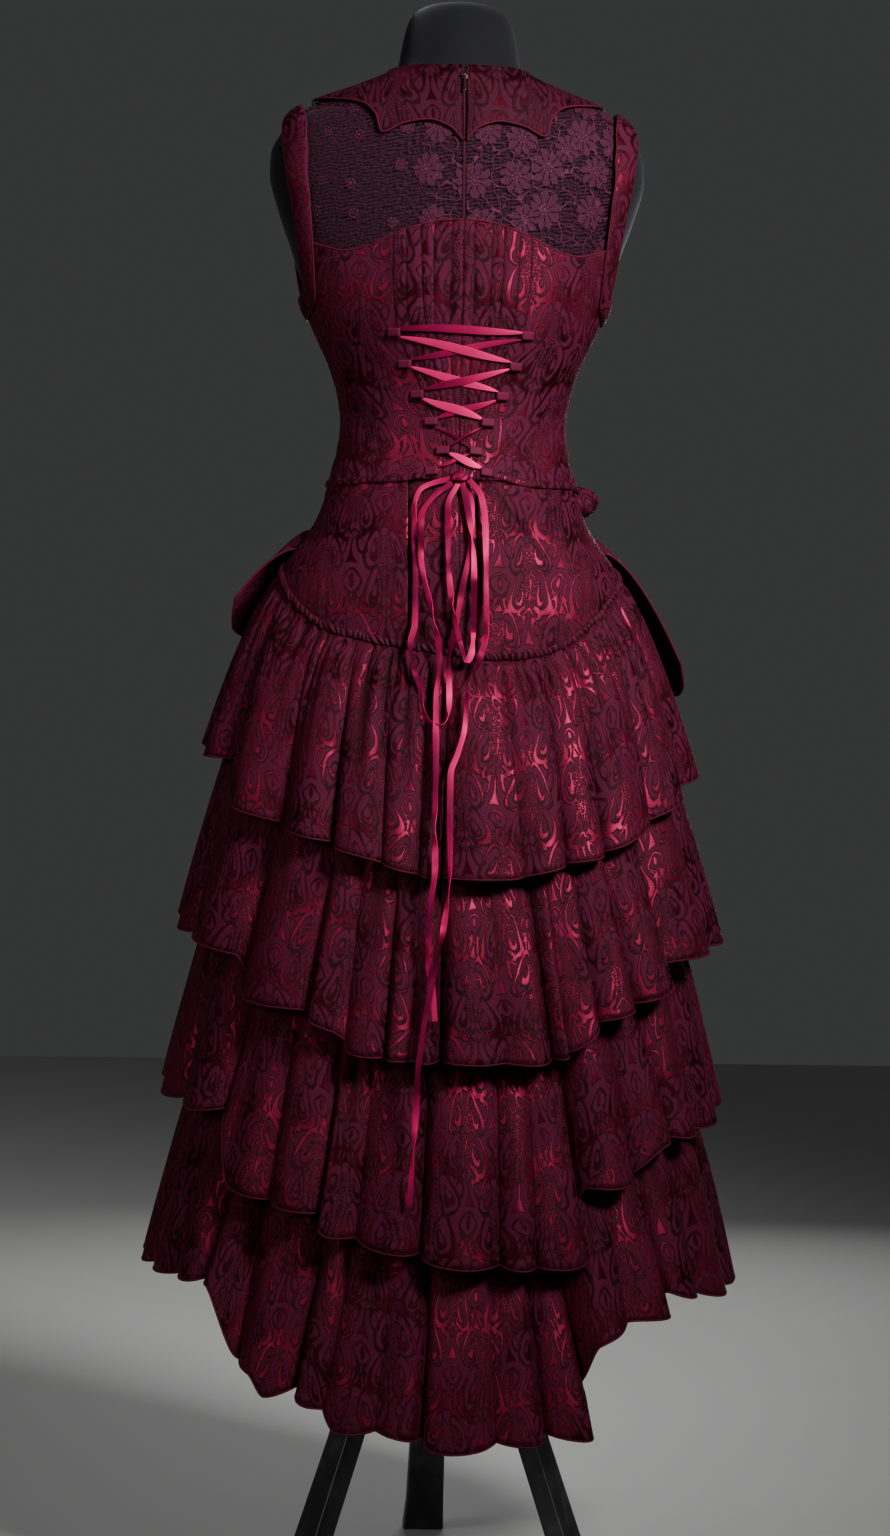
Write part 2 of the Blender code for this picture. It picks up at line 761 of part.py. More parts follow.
def arm_bearing(z):
    """Bearing of a panel's armhole edge, which lies under the band."""
    edge = [(rib.inner_z, rib.inner_bearing + UNDER_BAND) for rib in ARMHOLE_BAND[2:-1]]
    edge.append((ARMHOLE_BAND[-1].inner_z, 90.0))
    edge.append((ARMHOLE_BAND[0].inner_z, 90.0))
    return min(90.0, smooth(edge, z))


def yoke_rows(front):
    """The right half of the yoke, from the centre line to the armhole, as rows from the neck down."""
    top_edge = BODICE_TOP_FRONT if front else BODICE_TOP_BACK
    centre = 0.0 if front else OPENING_HALF
    neck_drop = YOKE_FRONT_DROP if front else 0.0
    tops = []
    for share in steps(3):
        x = blend(centre, YOKE_NECK_HALF, share)
        tops.append((x, NAPE - neck_drop * (1 - share) + 0.001 * share))
    tops += [(section(z)[0], z) for z in YOKE_SIDE_HEIGHTS]
    rows = []
    for spread in steps(7):
        v = spread ** 2.2
        row = []
        for i, (x_top, z_top) in enumerate(tops):
            x_low = blend(centre, YOKE_LOW_HALF, i / (len(tops) - 1))
            z_low = smooth(top_edge, x_low) - YOKE_UNDER_BODICE
            z = blend(z_top, z_low, v)
            bearing = min(bearing_at(blend(x_top, x_low, v), z), arm_bearing(z))
            point = body(180 - bearing if front else bearing, z, YOKE_LIFT)
            point.y = max(point.y, GAP) if front else min(point.y, -GAP)
            row.append(point)
        rows.append(row)
    return rows


def build_yoke(finish, collection):
    """Lace yoke: two back halves parted by the zip and one front."""
    back = yoke_rows(False)
    sheet("yoke_back_right", back, LACE, finish, collection)
    sheet("yoke_back_left", mirrored(back), LACE, finish, collection)
    right = [list(reversed(row)) for row in yoke_rows(True)]
    joined = [r + l[1:] for r, l in zip(right, mirrored(right))]
    sheet("yoke_front", joined, LACE, finish, collection)


def build_collar(finish, collection):
    """Two collar halves, from the zip over the shoulder to the centre front."""
    rows = []
    for t in steps(4):
        row = []
        for rib in COLLAR:
            bearing = blend(rib.neck_bearing, rib.edge_bearing, t)
            row.append(body(bearing, blend(rib.neck_z, rib.edge_z, t), COLLAR_LIFT))
        rows.append(row)
    sheet("collar_right", rows, JACQUARD, finish, collection)
    sheet("collar_left", mirrored(rows), JACQUARD, finish, collection)


def build_bands(finish, collection):
    """A band round each armhole, over the edges of the yoke and the bodice."""
    rows = []
    for t in steps(2):
        back = []
        for rib in ARMHOLE_BAND:
            back.append((blend(rib.inner_bearing, rib.arm_bearing, t), blend(rib.inner_z, rib.arm_z, t)))
        front = [(180 - bearing, z) for bearing, z in reversed(back[1:-1])]
        rows.append([body(bearing, z, BAND_LIFT) for bearing, z in back + front])
    right = [list(reversed(row)) for row in rows]
    sheet("armhole_band_right", right, JACQUARD, finish, collection, closed=True)
    sheet("armhole_band_left", mirrored(right), JACQUARD, finish, collection, closed=True)


# Bodice


def build_bodice(finish, collection):
    """Side backs, the shirred centre backs and one front."""
    half = [(row.z, row.half) for row in CENTRE_PANEL]
    centre_rows = []
    side_rows = []
    for v in steps(6):
        centre_row = []
        for u in steps(SHIRRS_PER_HALF * 3):
            z_top = smooth(BODICE_TOP_BACK, blend(OPENING_HALF, CENTRE_PANEL[0].half, u))
            z = blend(z_top, WAIST_SEAM + SEAM_GAP, v)
            edge = smooth(half, z) - SEAM_GAP
            wave = 0.5 - 0.5 * math.cos(math.tau * SHIRRS_PER_HALF * u)
            lift = BODICE_LIFT + SHIRR_DEPTH * wave * min(1.0, edge / 0.040)
            centre_row.append(body(bearing_at(blend(OPENING_HALF, edge, u), z), z, lift))
        centre_rows.append(centre_row)
        side_row = []
        for u in steps(7):
            z_top = smooth(BODICE_TOP_BACK, blend(CENTRE_PANEL[0].half, YOKE_LOW_HALF, u))
            z = blend(z_top, WAIST_SEAM + SEAM_GAP, v)
            near = bearing_at(smooth(half, z) + SEAM_GAP, z)
            side_row.append(body(blend(near, arm_bearing(z) - SIDE_SEAM, u), z, BODICE_LIFT))
        side_rows.append(side_row)
    sheet("bodice_back_centre_right", centre_rows, JACQUARD, finish, collection)
    sheet("bodice_back_centre_left", mirrored(centre_rows), JACQUARD, finish, collection)
    sheet("bodice_back_side_right", side_rows, JACQUARD, finish, collection)
    sheet("bodice_back_side_left", mirrored(side_rows), JACQUARD, finish, collection)
    front_rows = []
    for v in steps(8):
        right = []
        for u in steps(7):
            z_top = smooth(BODICE_TOP_FRONT, blend(YOKE_LOW_HALF, 0.0, u))
            z = blend(z_top, WAIST_SEAM + SEAM_GAP, v)
            near = 180 - arm_bearing(z) + SIDE_SEAM
            right.append(body(blend(near, 180, u), z, BODICE_LIFT))
        front_rows.append(right + mirrored([right])[0][1:])
    sheet("bodice_front", front_rows, JACQUARD, finish, collection)


# Hip yoke and skirt


def hip_seam(bearing):
    """Height of the seam under the hip yoke."""
    return smooth(HIP_SEAM, periodic(bearing))


def hip_rows(first, last, count, lift, by_x):
    """Rows of a hip yoke panel between two edges, given as distances at the back or as bearings."""
    rows = []
    for v in steps(4):
        row = []
        for u in steps(count):
            guess = blend(first, last, u)
            bearing = bearing_at(guess, 0.95) if by_x else guess
            z = blend(WAIST_SEAM - SEAM_GAP, hip_seam(bearing), v)
            if by_x:
                bearing = bearing_at(guess, z)
            row.append(body(bearing, z, lift))
        rows.append(row)
    return rows


def side_hip_rows(edge_x, seam_bearing, count):
    """Rows of a back hip panel from a lapped edge near the middle to the side seam."""
    rows = []
    for v in steps(4):
        row = []
        for u in steps(count):
            z = WAIST_SEAM - SEAM_GAP
            for _ in range(3):
                bearing = blend(bearing_at(edge_x, z), seam_bearing, u)
                z = blend(WAIST_SEAM - SEAM_GAP, hip_seam(bearing), v)
            row.append(body(bearing, z, HIP_SIDE_LIFT))
        rows.append(row)
    return rows


def build_hip_yoke(finish, collection):
    """Smooth flared panels; the centre backs lie lower, under the edges of the side backs."""
    left = hip_rows(HIP_CENTRE_LEFT, -OPENING_HALF, 5, HIP_CENTRE_LIFT, True)
    right = hip_rows(OPENING_HALF, HIP_CENTRE_RIGHT, 3, HIP_CENTRE_LIFT, True)
    sheet("hip_yoke_centre_left", left, JACQUARD, finish, collection)
    sheet("hip_yoke_centre_right", right, JACQUARD, finish, collection)
    side_right = side_hip_rows(HIP_CENTRE_RIGHT - HIP_LAP, HIP_SIDE_EDGE, 10)
    side_left = [list(reversed(row)) for row in side_hip_rows(HIP_CENTRE_LEFT + HIP_LAP, -HIP_SIDE_EDGE, 9)]
    sheet("hip_yoke_side_right", side_right, JACQUARD, finish, collection)
    sheet("hip_yoke_side_left", side_left, JACQUARD, finish, collection)
    front = hip_rows(180 - HIP_SIDE_EDGE, 180 + HIP_SIDE_EDGE, 20, HIP_SIDE_LIFT, False)
    sheet("hip_yoke_front", front, JACQUARD, finish, collection)


def plan_shape(z):
    """Proportions of the skirt's plan at a height: the body's at the hip, rounder lower down."""
    share = max(0.0, min(1.0, (HIP_PLAN - z) / (HIP_PLAN - ROUND_PLAN)))
    skirt = (FOUNDATION_SIDE, FOUNDATION_BACK, FOUNDATION_FRONT)
    hip = section(max(z, HIP_PLAN))
    return [blend(a / hip[0], b / skirt[0], share) for a, b in zip(hip, skirt)]


def skirt_point(bearing, radius, z, shift=0.0):
    """A point of the skirt: all its layers share one direction at each bearing and height."""
    out = ring_point(bearing, 0.0, *plan_shape(z)).normalized()
    return Vector((out.x * radius + shift, out.y * radius, z))


def reach(bearing, z, side, back, front):
    """Level distance from the axis to a plan section, in the skirt's direction for a bearing."""
    out = ring_point(bearing, 0.0, *plan_shape(z)).normalized()
    depth = back if out.y < 0 else front
    return 1 / math.hypot(out.x / side, out.y / depth)


def hem(number, bearing):
    """Height of a tier's hem."""
    return smooth(TIERS[number].hem, periodic(bearing))


def foundation_radius(bearing, z):
    """Inner radius of the foundation skirt at a height."""
    top = hip_seam(bearing) - HEADING
    low = hem(2, bearing) + FOUNDATION_TAIL
    t = max(0.0, min(1.0, (top - z) / (top - low)))
    start = reach(bearing, z, *section(top)) + HIP_CENTRE_LIFT
    end = reach(bearing, z, FOUNDATION_SIDE, FOUNDATION_BACK, FOUNDATION_FRONT)
    return blend(start, end, 1 - (1 - t) ** FOUNDATION_BELL)


def valley(number, bearing):
    """Depth of the fold valleys of a tier at a bearing, at its hem."""
    deepest = 0.0
    for row in TIERS[number].valleys + FRONT_VALLEYS:
        away = periodic(bearing - row.bearing)
        deepest = max(deepest, row.depth * math.exp(-((away / VALLEY_WIDTH) ** 2)))
    return deepest


def tier_radius(number, bearing, z):
    """Inner radius of a tier at a height."""
    tier = TIERS[number]
    top = tier_top(number, bearing)
    low = hem(number, bearing)
    t = max(0.0, min(1.0, (top - z) / (top - low)))
    start = foundation_radius(bearing, top) + JACQUARD + TIER_SEAT[number]
    end = reach(bearing, z, tier.side, tier.back, tier.front) - JACQUARD
    radius = blend(start, end, t ** tier.swell) - valley(number, bearing) * t ** 0.8
    least = foundation_radius(bearing, z) + JACQUARD + TIER_SEAT[number]
    if number > 0:
        above = hem(number - 1, bearing)
        limit = tier_radius(number - 1, bearing, above) - JACQUARD - TIER_TO_TIER
        limit += max(0.0, above - z) * 1.6
        radius = min(radius, limit)
    return max(radius, least)


def tier_top(number, bearing):
    """Height of a tier's gathered top edge."""
    if number == 0:
        return hip_seam(bearing) - HEADING - 2 * SEAM_GAP
    return hem(number - 1, bearing) + TIER_OVERLAP


def around(count, start=0.0):
    """Even bearings round the gown."""
    return [start + 360 * i / count for i in range(count)]


def build_foundation(finish, collection):
    """The plain skirt under the tiers, from behind the heading to just below the last tier's seam."""
    bearings = around(COLUMNS // 2)
    rows = [[skirt_point(b, foundation_radius(b, hip_seam(b)), hip_seam(b) - HEADING * 0.4) for b in bearings]]
    for v in steps(3):
        row = []
        for b in bearings:
            z = blend(hip_seam(b) - HEADING, hem(2, b) + FOUNDATION_TAIL, v)
            row.append(skirt_point(b, foundation_radius(b, z), z))
        rows.append(row)
    sheet("foundation_skirt", rows, JACQUARD, finish, collection, closed=True)


def build_heading(finish, collection):
    """The ruched roll between the hip yoke and the first tier."""
    rings = []
    count = HEADING_PUCKERS * 3
    for i in range(count):
        bearing = 360 * i / count
        swell = 0.8 + 0.2 * math.cos(math.tau * HEADING_PUCKERS * i / count)
        inner = foundation_radius(bearing, hip_seam(bearing)) + JACQUARD + LAP_GAP
        top = hip_seam(bearing) - SEAM_GAP
        low = hip_seam(bearing) - HEADING
        middle = (top + low) / 2
        proud = HEADING_PROUD * swell
        rings.append([
            skirt_point(bearing, inner, top - HEADING_EDGE),
            skirt_point(bearing, inner + proud * 0.75, top),
            skirt_point(bearing, inner + proud, middle),
            skirt_point(bearing, inner + proud * 0.5, low + HEADING_EDGE),
        ])
    shape = bmesh.new()
    loops = [[shape.verts.new(point) for point in ring] for ring in rings]
    for here, beyond in zip(loops, loops[1:] + loops[:1]):
        for i in range(len(here)):
            j = (i + 1) % len(here)
            shape.faces.new((here[i], here[j], beyond[j], beyond[i]))
    bmesh.ops.recalc_face_normals(shape, faces=shape.faces)
    mesh = bpy.data.meshes.new("ruched_heading")
    shape.to_mesh(mesh)
    shape.free()
    place("ruched_heading", mesh, finish, collection)


def build_tiers(finish, collection):
    """The four ruffles: the first gathered into the heading, each other under the hem above it."""
    for number, tier in enumerate(TIERS):
        count = COLUMNS * 2 if number == 0 else COLUMNS
        rows = []
        for level in range(3 if number == 0 else 4):
            row = []
            for b in around(count):
                top = tier_top(number, b)
                low = hem(number, b)
                if number == 0:
                    z = (top, blend(top, low, 0.30), low)[level]
                else:
                    above = hem(number - 1, b) - 0.001
                    z = (top, above, blend(above, low, 0.5), low)[level]
                radius = tier_radius(number, b, z)
                if number == 0:
                    fine = 0.5 - 0.5 * math.cos(math.radians(GATHERS * b))
                    radius += GATHER_DEPTHS[level] * fine
                row.append(skirt_point(b, radius, z, tier.shift * (top - z) / (top - low)))
            rows.append(row)
        sheet(tier.name, rows, JACQUARD, finish, collection, closed=True)


def build_peplum(finish, collection):
    """The front peplum, whose rounded corners stand out at both hips."""
    rows = []
    for v in steps(PEPLUM_STEPS):
        row = []
        for edge in PEPLUM:
            z = blend(edge.top, edge.bottom, v)
            start = body(edge.bearing, edge.top, PEPLUM_LIFT)
            out = ring_point(edge.bearing, 0.0, 1.0, 1.0, 0.92).normalized()
            end = Vector((out.x * edge.radius, out.y * edge.radius, z))
            share = v ** 0.62
            point = Vector((blend(start.x, end.x, share), blend(start.y, end.y, share), z))
            row.append(point)
        rows.append(row)
    sheet("front_peplum", rows, JACQUARD, finish, collection)


# Small pieces


def build_waist_ties(finish, collection):
    """Narrow ties over the waist seam, from the lacing to the side seams."""
    for name, first, last in (("waist_tie_right", TIE_NEAR, TIE_FAR), ("waist_tie_left", -TIE_FAR, -TIE_NEAR)):
        rows = []
        for z in (WAIST_SEAM + TIE_HALF_WIDTH, WAIST_SEAM, WAIST_SEAM - TIE_HALF_WIDTH):
            lift = BODICE_LIFT + JACQUARD + GAP
            rows.append([body(blend(first, last, u), z, lift) for u in steps(12)])
        sheet(name, rows, JACQUARD, finish, collection)


def rosette_point(reach, turn, lift):
    """A point at a distance and a turn from the rosette's middle, at a height above the body."""
    bearing = ROSETTE_BEARING + math.degrees(reach * math.cos(turn) / ROSETTE_ARM)
    return body(bearing, ROSETTE_Z + reach * math.sin(turn), lift)


def build_rosette(finish, collection):
    """A rolled rosette of five petals, made from the points of the hip yoke and bodice moved out."""
    rings = []
    count = ROSETTE_PETALS * 5
    for share, height in ROSETTE_PROFILE:
        ring = []
        for i in range(count):
            turn = math.tau * i / count
            lobe = 1 + ROSETTE_LOBE * math.cos(ROSETTE_PETALS * turn) * share
            lift = ROSETTE_FOOT_LIFT + ROSETTE_HEIGHT * height
            ring.append(rosette_point(ROSETTE_RADIUS * share * lobe, turn, lift))
        rings.append(ring)
    turns = [math.tau * i / count for i in range(count)]
    rings.append([rosette_point(ROSETTE_RADIUS * 0.5, turn, ROSETTE_BASE_LIFT) for turn in turns])
    loft("waist_rosette", rings, finish, collection)


def build_loops(finish, collection):
    """Six pairs of small flat loops in a V beside the shirred panel."""
    for number, pair in enumerate(LOOPS, start=1):
        for mirror, tag in ((False, "right"), (True, "left")):
            rows = []
            for up in (0.5, -0.5):
                z = pair.z + LOOP_WIDTH * up
                row = []
                for along in (-0.5, 0.0, 0.5):
                    x = pair.x + LOOP_LENGTH * along
                    row.append(body(bearing_at(x, z), z, loop_lift(pair)))
                if mirror:
                    row = [Vector((-p.x, p.y, p.z)) for p in reversed(row)]
                rows.append(row)
            sheet(f"lacing_loop_{tag}_{number}", rows, JACQUARD, finish, collection)


def loop_lift(pair):
    """Height of a loop's inner face, clear of the shirring and of the waist tie."""
    return BODICE_LIFT + JACQUARD + GAP + pair.proud


def strip(name, points, finish, collection):
    """A flat ribbon along points and their outward directions, given as pairs."""
    edges = ([], [])
    for i, (point, out) in enumerate(points):
        before = points[max(i - 1, 0)][0]
        after = points[min(i + 1, len(points) - 1)][0]
        along = (after - before).normalized()
        aside = along.cross(out).normalized() * RIBBON_WIDTH / 2
        edges[0].append(point - aside)
        edges[1].append(point + aside)
    sheet(name, [edges[0], edges[1]], RIBBON, finish, collection)


def lace_run(stations, lift, crown):
    """Points of a lacing run over the body between stations, lifted more in the middle of each span."""
    points = []
    for first, last in zip(stations[:-1], stations[1:]):
        for share in steps(4)[: 4 if last is not stations[-1] else 5]:
            x = blend(first[0], last[0], share)
            z = blend(first[1], last[1], share)
            rise = lift + crown * math.sin(math.pi * share)
            bearing = bearing_at(x, z)
            point = body(bearing, z, rise)
            points.append((point, (body(bearing, z, rise + 0.01) - point).normalized()))
    return points


def build_lacing(finish, collection):
    """The bar across the top pair and two runs that cross down the V."""
    inner = [(pair.x - LOOP_LENGTH / 2 - LACING_INSET, pair.z) for pair in LOOPS]
    low = ON_BODICE_LIFT + SHIRR_DEPTH - LACING_SINK
    bar = [(-inner[0][0], inner[0][1] + BAR_ABOVE), (inner[0][0], inner[0][1] + BAR_ABOVE)]
    strip("ribbon_bar", lace_run(bar, low + BAR_RISE, 0.0), finish, collection)
    run_a = [((-x if i % 2 == 0 else x), z) for i, (x, z) in enumerate(inner)]
    run_b = [(-x, z) for x, z in run_a]
    strip("ribbon_run_over", lace_run(run_a, low, LACING_CROWN), finish, collection)
    strip("ribbon_run_under", lace_run(run_b, low, 0.0), finish, collection)


def route_points(route, layer):
    """Points and outward directions of a hanging ribbon, evenly spaced on a smooth curve."""
    spots = [0.0]
    for a, b in zip(route[:-1], route[1:]):
        spots.append(spots[-1] + math.hypot(b.x - a.x, b.z - a.z))
    count = max(8, round(spots[-1] / RIBBON_STEP))
    points = []
    for share in steps(count):
        at = spots[-1] * share
        x = smooth(list(zip(spots, [p.x for p in route])), at)
        z = smooth(list(zip(spots, [p.z for p in route])), at)
        depth = smooth(RIBBON_DEPTH, z) + RIBBON_LAYER * layer
        angle = math.asin(x / RIBBON_SWEEP)
        out = Vector((math.sin(angle), -math.cos(angle), 0))
        points.append((Vector((x, -depth * math.cos(angle), z)), out))
    return points


def build_bow(finish, collection):
    """The knot at the waist, its two hanging loops and its two free ends."""
    knot_lift = ON_BODICE_LIFT + SHIRR_DEPTH * 0.45 + KNOT_LIFT
    rings = []
    for row in KNOT:
        near = body(0, row.z, knot_lift).y
        rings.append([
            Vector((-row.half, near, row.z)),
            Vector((-row.half * 0.85, near - row.thick, row.z)),
            Vector((row.half * 0.85, near - row.thick, row.z)),
            Vector((row.half, near, row.z)),
        ])
    loft("ribbon_knot", rings, finish, collection)
    strip("ribbon_bow_long", route_points(BOW_LONG, 0), finish, collection)
    strip("ribbon_bow_short", route_points(BOW_SHORT, 1), finish, collection)
    strip("ribbon_tail_short", route_points(TAIL_SHORT, 2), finish, collection)
    strip("ribbon_tail_long", route_points(TAIL_LONG, 3), finish, collection)


def build_zip(tape_finish, metal, collection):
    """The closed zip in the centre back opening, its slider and the pull that hangs on it."""
    rows = []
    for v in steps(18):
        z = blend(NAPE - 0.001, ZIP_END, v)
        rows.append([body(bearing_at(side * ZIP_HALF, z), z, ZIP_LIFT) for side in (-1, 1)])
    sheet("zip_tape", rows, LACE, tape_finish, collection)

    base = body(0, SLIDER_Z, COLLAR_LIFT + JACQUARD + GAP)
    out = (body(0, SLIDER_Z, 0.01) - body(0, SLIDER_Z, 0.0)).normalized()
    tilt = math.atan2(out.z, -out.y)
    slider = bmesh.new()
    plate = bmesh.ops.create_cube(slider, size=1.0)["verts"]
    bmesh.ops.scale(slider, vec=(SLIDER_WIDTH, SLIDER_WALL, SLIDER_HEIGHT), verts=plate)
    bmesh.ops.translate(slider, vec=(0, -SLIDER_WALL / 2, 0), verts=plate)
    mesh = bpy.data.meshes.new("zip_slider")
    slider.to_mesh(mesh)
    slider.free()
    body_piece = place("zip_slider", mesh, metal, collection)
    body_piece.location = base
    body_piece.rotation_euler = (-tilt, 0, 0)
    ear_inner = PULL_WIDTH / 2 + EAR_GAP
    for side in (-1, 1):
        ear = bmesh.new()
        bmesh.ops.create_cube(ear, size=1.0)
        middle = side * (ear_inner + EAR_OUTER) / 2
        bmesh.ops.scale(ear, vec=(EAR_OUTER - ear_inner, EAR_RISE, EAR_WIDTH), verts=ear.verts)
        bmesh.ops.translate(ear, vec=(middle, -SLIDER_WALL - EAR_RISE / 2 + EAR_SINK, 0), verts=ear.verts)
        ear_mesh = bpy.data.meshes.new("slider_ear")
        ear.to_mesh(ear_mesh)
        ear.free()
        cutter = bpy.data.objects.new(f"slider_ear_{side}", ear_mesh)
        bpy.data.collections["cutters"].objects.link(cutter)
        cutter.parent = body_piece
        cutter.hide_render = True
        cutter.display_type = "WIRE"
        union = body_piece.modifiers.new("ear", "BOOLEAN")
        union.operation = "UNION"
        union.object = cutter

    pivot = base + out * (SLIDER_WALL + PIVOT_RADIUS + PIVOT_GAP)
    shape = bmesh.new()
    arc = [math.radians(a) for a in range(-60, 241, 50)]
    side_points = [(PIVOT_RADIUS * math.cos(a), PIVOT_RADIUS * math.sin(a)) for a in arc]
    tab = PULL_WALL / 2
    side_points += [(-tab, -PULL_LENGTH), (tab, -PULL_LENGTH)]
    ring = [shape.verts.new((-PULL_WIDTH / 2, y, zz)) for y, zz in side_points]
    face = shape.faces.new(ring)
    moved = bmesh.ops.extrude_face_region(shape, geom=[face])
    far = [item for item in moved["geom"] if isinstance(item, bmesh.types.BMVert)]
    bmesh.ops.translate(shape, vec=(PULL_WIDTH, 0, 0), verts=far)
    bmesh.ops.recalc_face_normals(shape, faces=shape.faces)
    pull_mesh = bpy.data.meshes.new("zip_pull")
    shape.to_mesh(pull_mesh)
    shape.free()
    pull = place("zip_pull", pull_mesh, metal, collection)
    pull.location = pivot
    pull.rotation_euler = (-tilt, 0, 0)


def main():
    for old in list(bpy.data.objects):
        bpy.data.objects.remove(old)
    collection = bpy.data.collections.new("ruffled_gown")
    cutters = bpy.data.collections.new("cutters")
    bpy.context.scene.collection.children.link(collection)
    bpy.context.scene.collection.children.link(cutters)
    cutters.hide_render = True
    gown = bpy.data.objects.new("gown", None)
    collection.objects.link(gown)

    jacquard = material("jacquard", (0.13, 0.012, 0.035), 0.45)
    lace = material("lace", (0.07, 0.010, 0.022), 0.70)
    ribbon = material("ribbon", (0.45, 0.015, 0.08), 0.25)
    velvet = material("velvet", (0.006, 0.006, 0.007), 0.95)
    stand = material("stand", (0.010, 0.010, 0.011), 0.40)
    tape = material("zip_tape", (0.05, 0.006, 0.015), 0.60)
    metal = material("zip_metal", (0.55, 0.54, 0.52), 0.28, 1.0)

    build_form(velvet, collection)
    build_stand(stand, collection)
    build_yoke(lace, collection)
    build_collar(jacquard, collection)
    build_bands(jacquard, collection)
    build_bodice(jacquard, collection)
    build_hip_yoke(jacquard, collection)
    build_foundation(jacquard, collection)
    build_heading(jacquard, collection)
    build_tiers(jacquard, collection)
    build_peplum(jacquard, collection)
    build_waist_ties(jacquard, collection)
    build_rosette(jacquard, collection)
    build_loops(jacquard, collection)
    build_lacing(ribbon, collection)
    build_bow(ribbon, collection)
    build_zip(tape, metal, collection)


main()
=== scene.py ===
"""Looks of a wine damask gown with four ruffle tiers, on its limbless dress form.

Metres, +Z up. The back of the gown faces -Y and the wearer's right side is +X. A bearing is the angle
round the gown in degrees: 0 at the centre back, 90 at the right side seam and -90 at the left one.
"""

import logging
import math
from dataclasses import dataclass, field
from enum import Enum
from typing import Iterator, Optional, Sequence, Union

import bmesh
import bpy
import numpy as np
from mathutils import Matrix, Vector


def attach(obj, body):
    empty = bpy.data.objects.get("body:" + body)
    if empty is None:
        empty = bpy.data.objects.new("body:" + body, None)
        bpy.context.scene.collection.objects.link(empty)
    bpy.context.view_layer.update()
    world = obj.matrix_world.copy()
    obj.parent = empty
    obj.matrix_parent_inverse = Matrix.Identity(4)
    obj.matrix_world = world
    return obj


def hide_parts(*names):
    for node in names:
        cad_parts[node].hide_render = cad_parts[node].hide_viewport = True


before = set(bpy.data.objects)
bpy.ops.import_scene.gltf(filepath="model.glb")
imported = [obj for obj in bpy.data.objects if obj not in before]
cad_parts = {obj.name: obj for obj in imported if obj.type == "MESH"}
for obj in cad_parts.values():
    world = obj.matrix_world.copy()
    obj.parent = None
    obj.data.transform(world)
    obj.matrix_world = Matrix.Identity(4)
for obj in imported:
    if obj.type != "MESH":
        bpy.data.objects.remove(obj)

LOG = logging.getLogger("gown")
GOWN = "gown_on_form"
PULL_TAB = "pull_tab"
Array = np.ndarray
Number = Union[float, Array]

# Cloth walls, and each layer's inner face above the body surface
JACQUARD = 0.0014
LACE = 0.0010
RIBBON = 0.0006
GAP = 0.0004
LAP_GAP = 0.0010
SEAM_GAP = 0.0006
ROLL = 0.0011
YOKE_LIFT = 0.0
BODICE_LIFT = LACE + LAP_GAP * 1.9
COLLAR_LIFT = LACE + LAP_GAP * 1.6
BAND_LIFT = BODICE_LIFT + JACQUARD + LAP_GAP
ON_BODICE_LIFT = BAND_LIFT
HIP_CENTRE_LIFT = 0.0004
HIP_SIDE_LIFT = HIP_CENTRE_LIFT + JACQUARD + GAP
PEPLUM_LIFT = HIP_SIDE_LIFT + JACQUARD + LAP_GAP * 2.4
ZIP_LIFT = 0.0002

# Heights and seams
WAIST_SEAM = 1.075
NAPE = 1.485
FORM_BASE = 0.850
OPENING_HALF = 0.0018
CLOSED_HALF = 0.0005
SLIT = 0.0001
ZIP_HALF = 0.0012
ZIP_END = 0.925
SIDE_SEAM = 0.18
SIDE_X = 0.145
HEADING = 0.0110
TIER_OVERLAP = 0.065
TIER_TO_TIER = 0.0055

# Ribbon
RIBBON_WIDTH = 0.0065
RIBBON_SWEEP = 0.200
RIBBON_LAYER = 0.0016
RIBBON_SHARP = math.radians(24)
LOOP_LENGTH = 0.012
LOOP_WIDTH = 0.008
SHIRR_DEPTH = 0.0022

# Points nearer than this are one, in sheets and in tubes
SHEET_MERGE = 0.00001
TUBE_MERGE = 0.000002

# Angles between faces of a solid, in radians: below the first they are one face, above the second an edge
FLAT_ANGLE = 0.02
SHARP_ANGLE = 0.6

# The gown's own tables, as its solids have them

# Height, half width, depth at the back and depth at the front
BODY = (
    (1.56, 0.048, 0.046, 0.04), (1.505, 0.0615, 0.057, 0.05), (1.487, 0.069, 0.062, 0.054),
    (1.47, 0.103, 0.071, 0.056), (1.455, 0.141, 0.077, 0.058), (1.44, 0.166, 0.082, 0.062),
    (1.424, 0.181, 0.086, 0.068), (1.405, 0.1895, 0.0895, 0.075), (1.385, 0.1905, 0.092, 0.084),
    (1.35, 0.182, 0.095, 0.102), (1.31, 0.168, 0.097, 0.121), (1.27, 0.154, 0.097, 0.131),
    (1.23, 0.137, 0.094, 0.127), (1.19, 0.119, 0.0885, 0.111), (1.16, 0.111, 0.085, 0.097),
    (1.136, 0.1085, 0.0835, 0.089), (1.112, 0.111, 0.085, 0.087), (1.088, 0.117, 0.0895, 0.089),
    (1.064, 0.123, 0.0955, 0.092), (1.04, 0.132, 0.102, 0.097), (1.016, 0.147, 0.1085, 0.103),
    (0.992, 0.164, 0.1145, 0.108), (0.97, 0.172, 0.1185, 0.111), (0.94, 0.177, 0.122, 0.112),
    (0.907, 0.179, 0.123, 0.11), (0.85, 0.174, 0.117, 0.104),
)
FORM_CAP = (
    (1.5585, 0.02, 0.019, 0.017), (1.554, 0.04, 0.038, 0.034), (1.544, 0.051, 0.048, 0.043),
    (1.525, 0.056, 0.053, 0.047),
)
# Height, gap between the form and the body surface
FORM_CLEARANCE = (
    (0.85, 0.003), (1.38, 0.003), (1.44, 0.0028), (1.487, 0.0046), (1.505, 0.002),
)
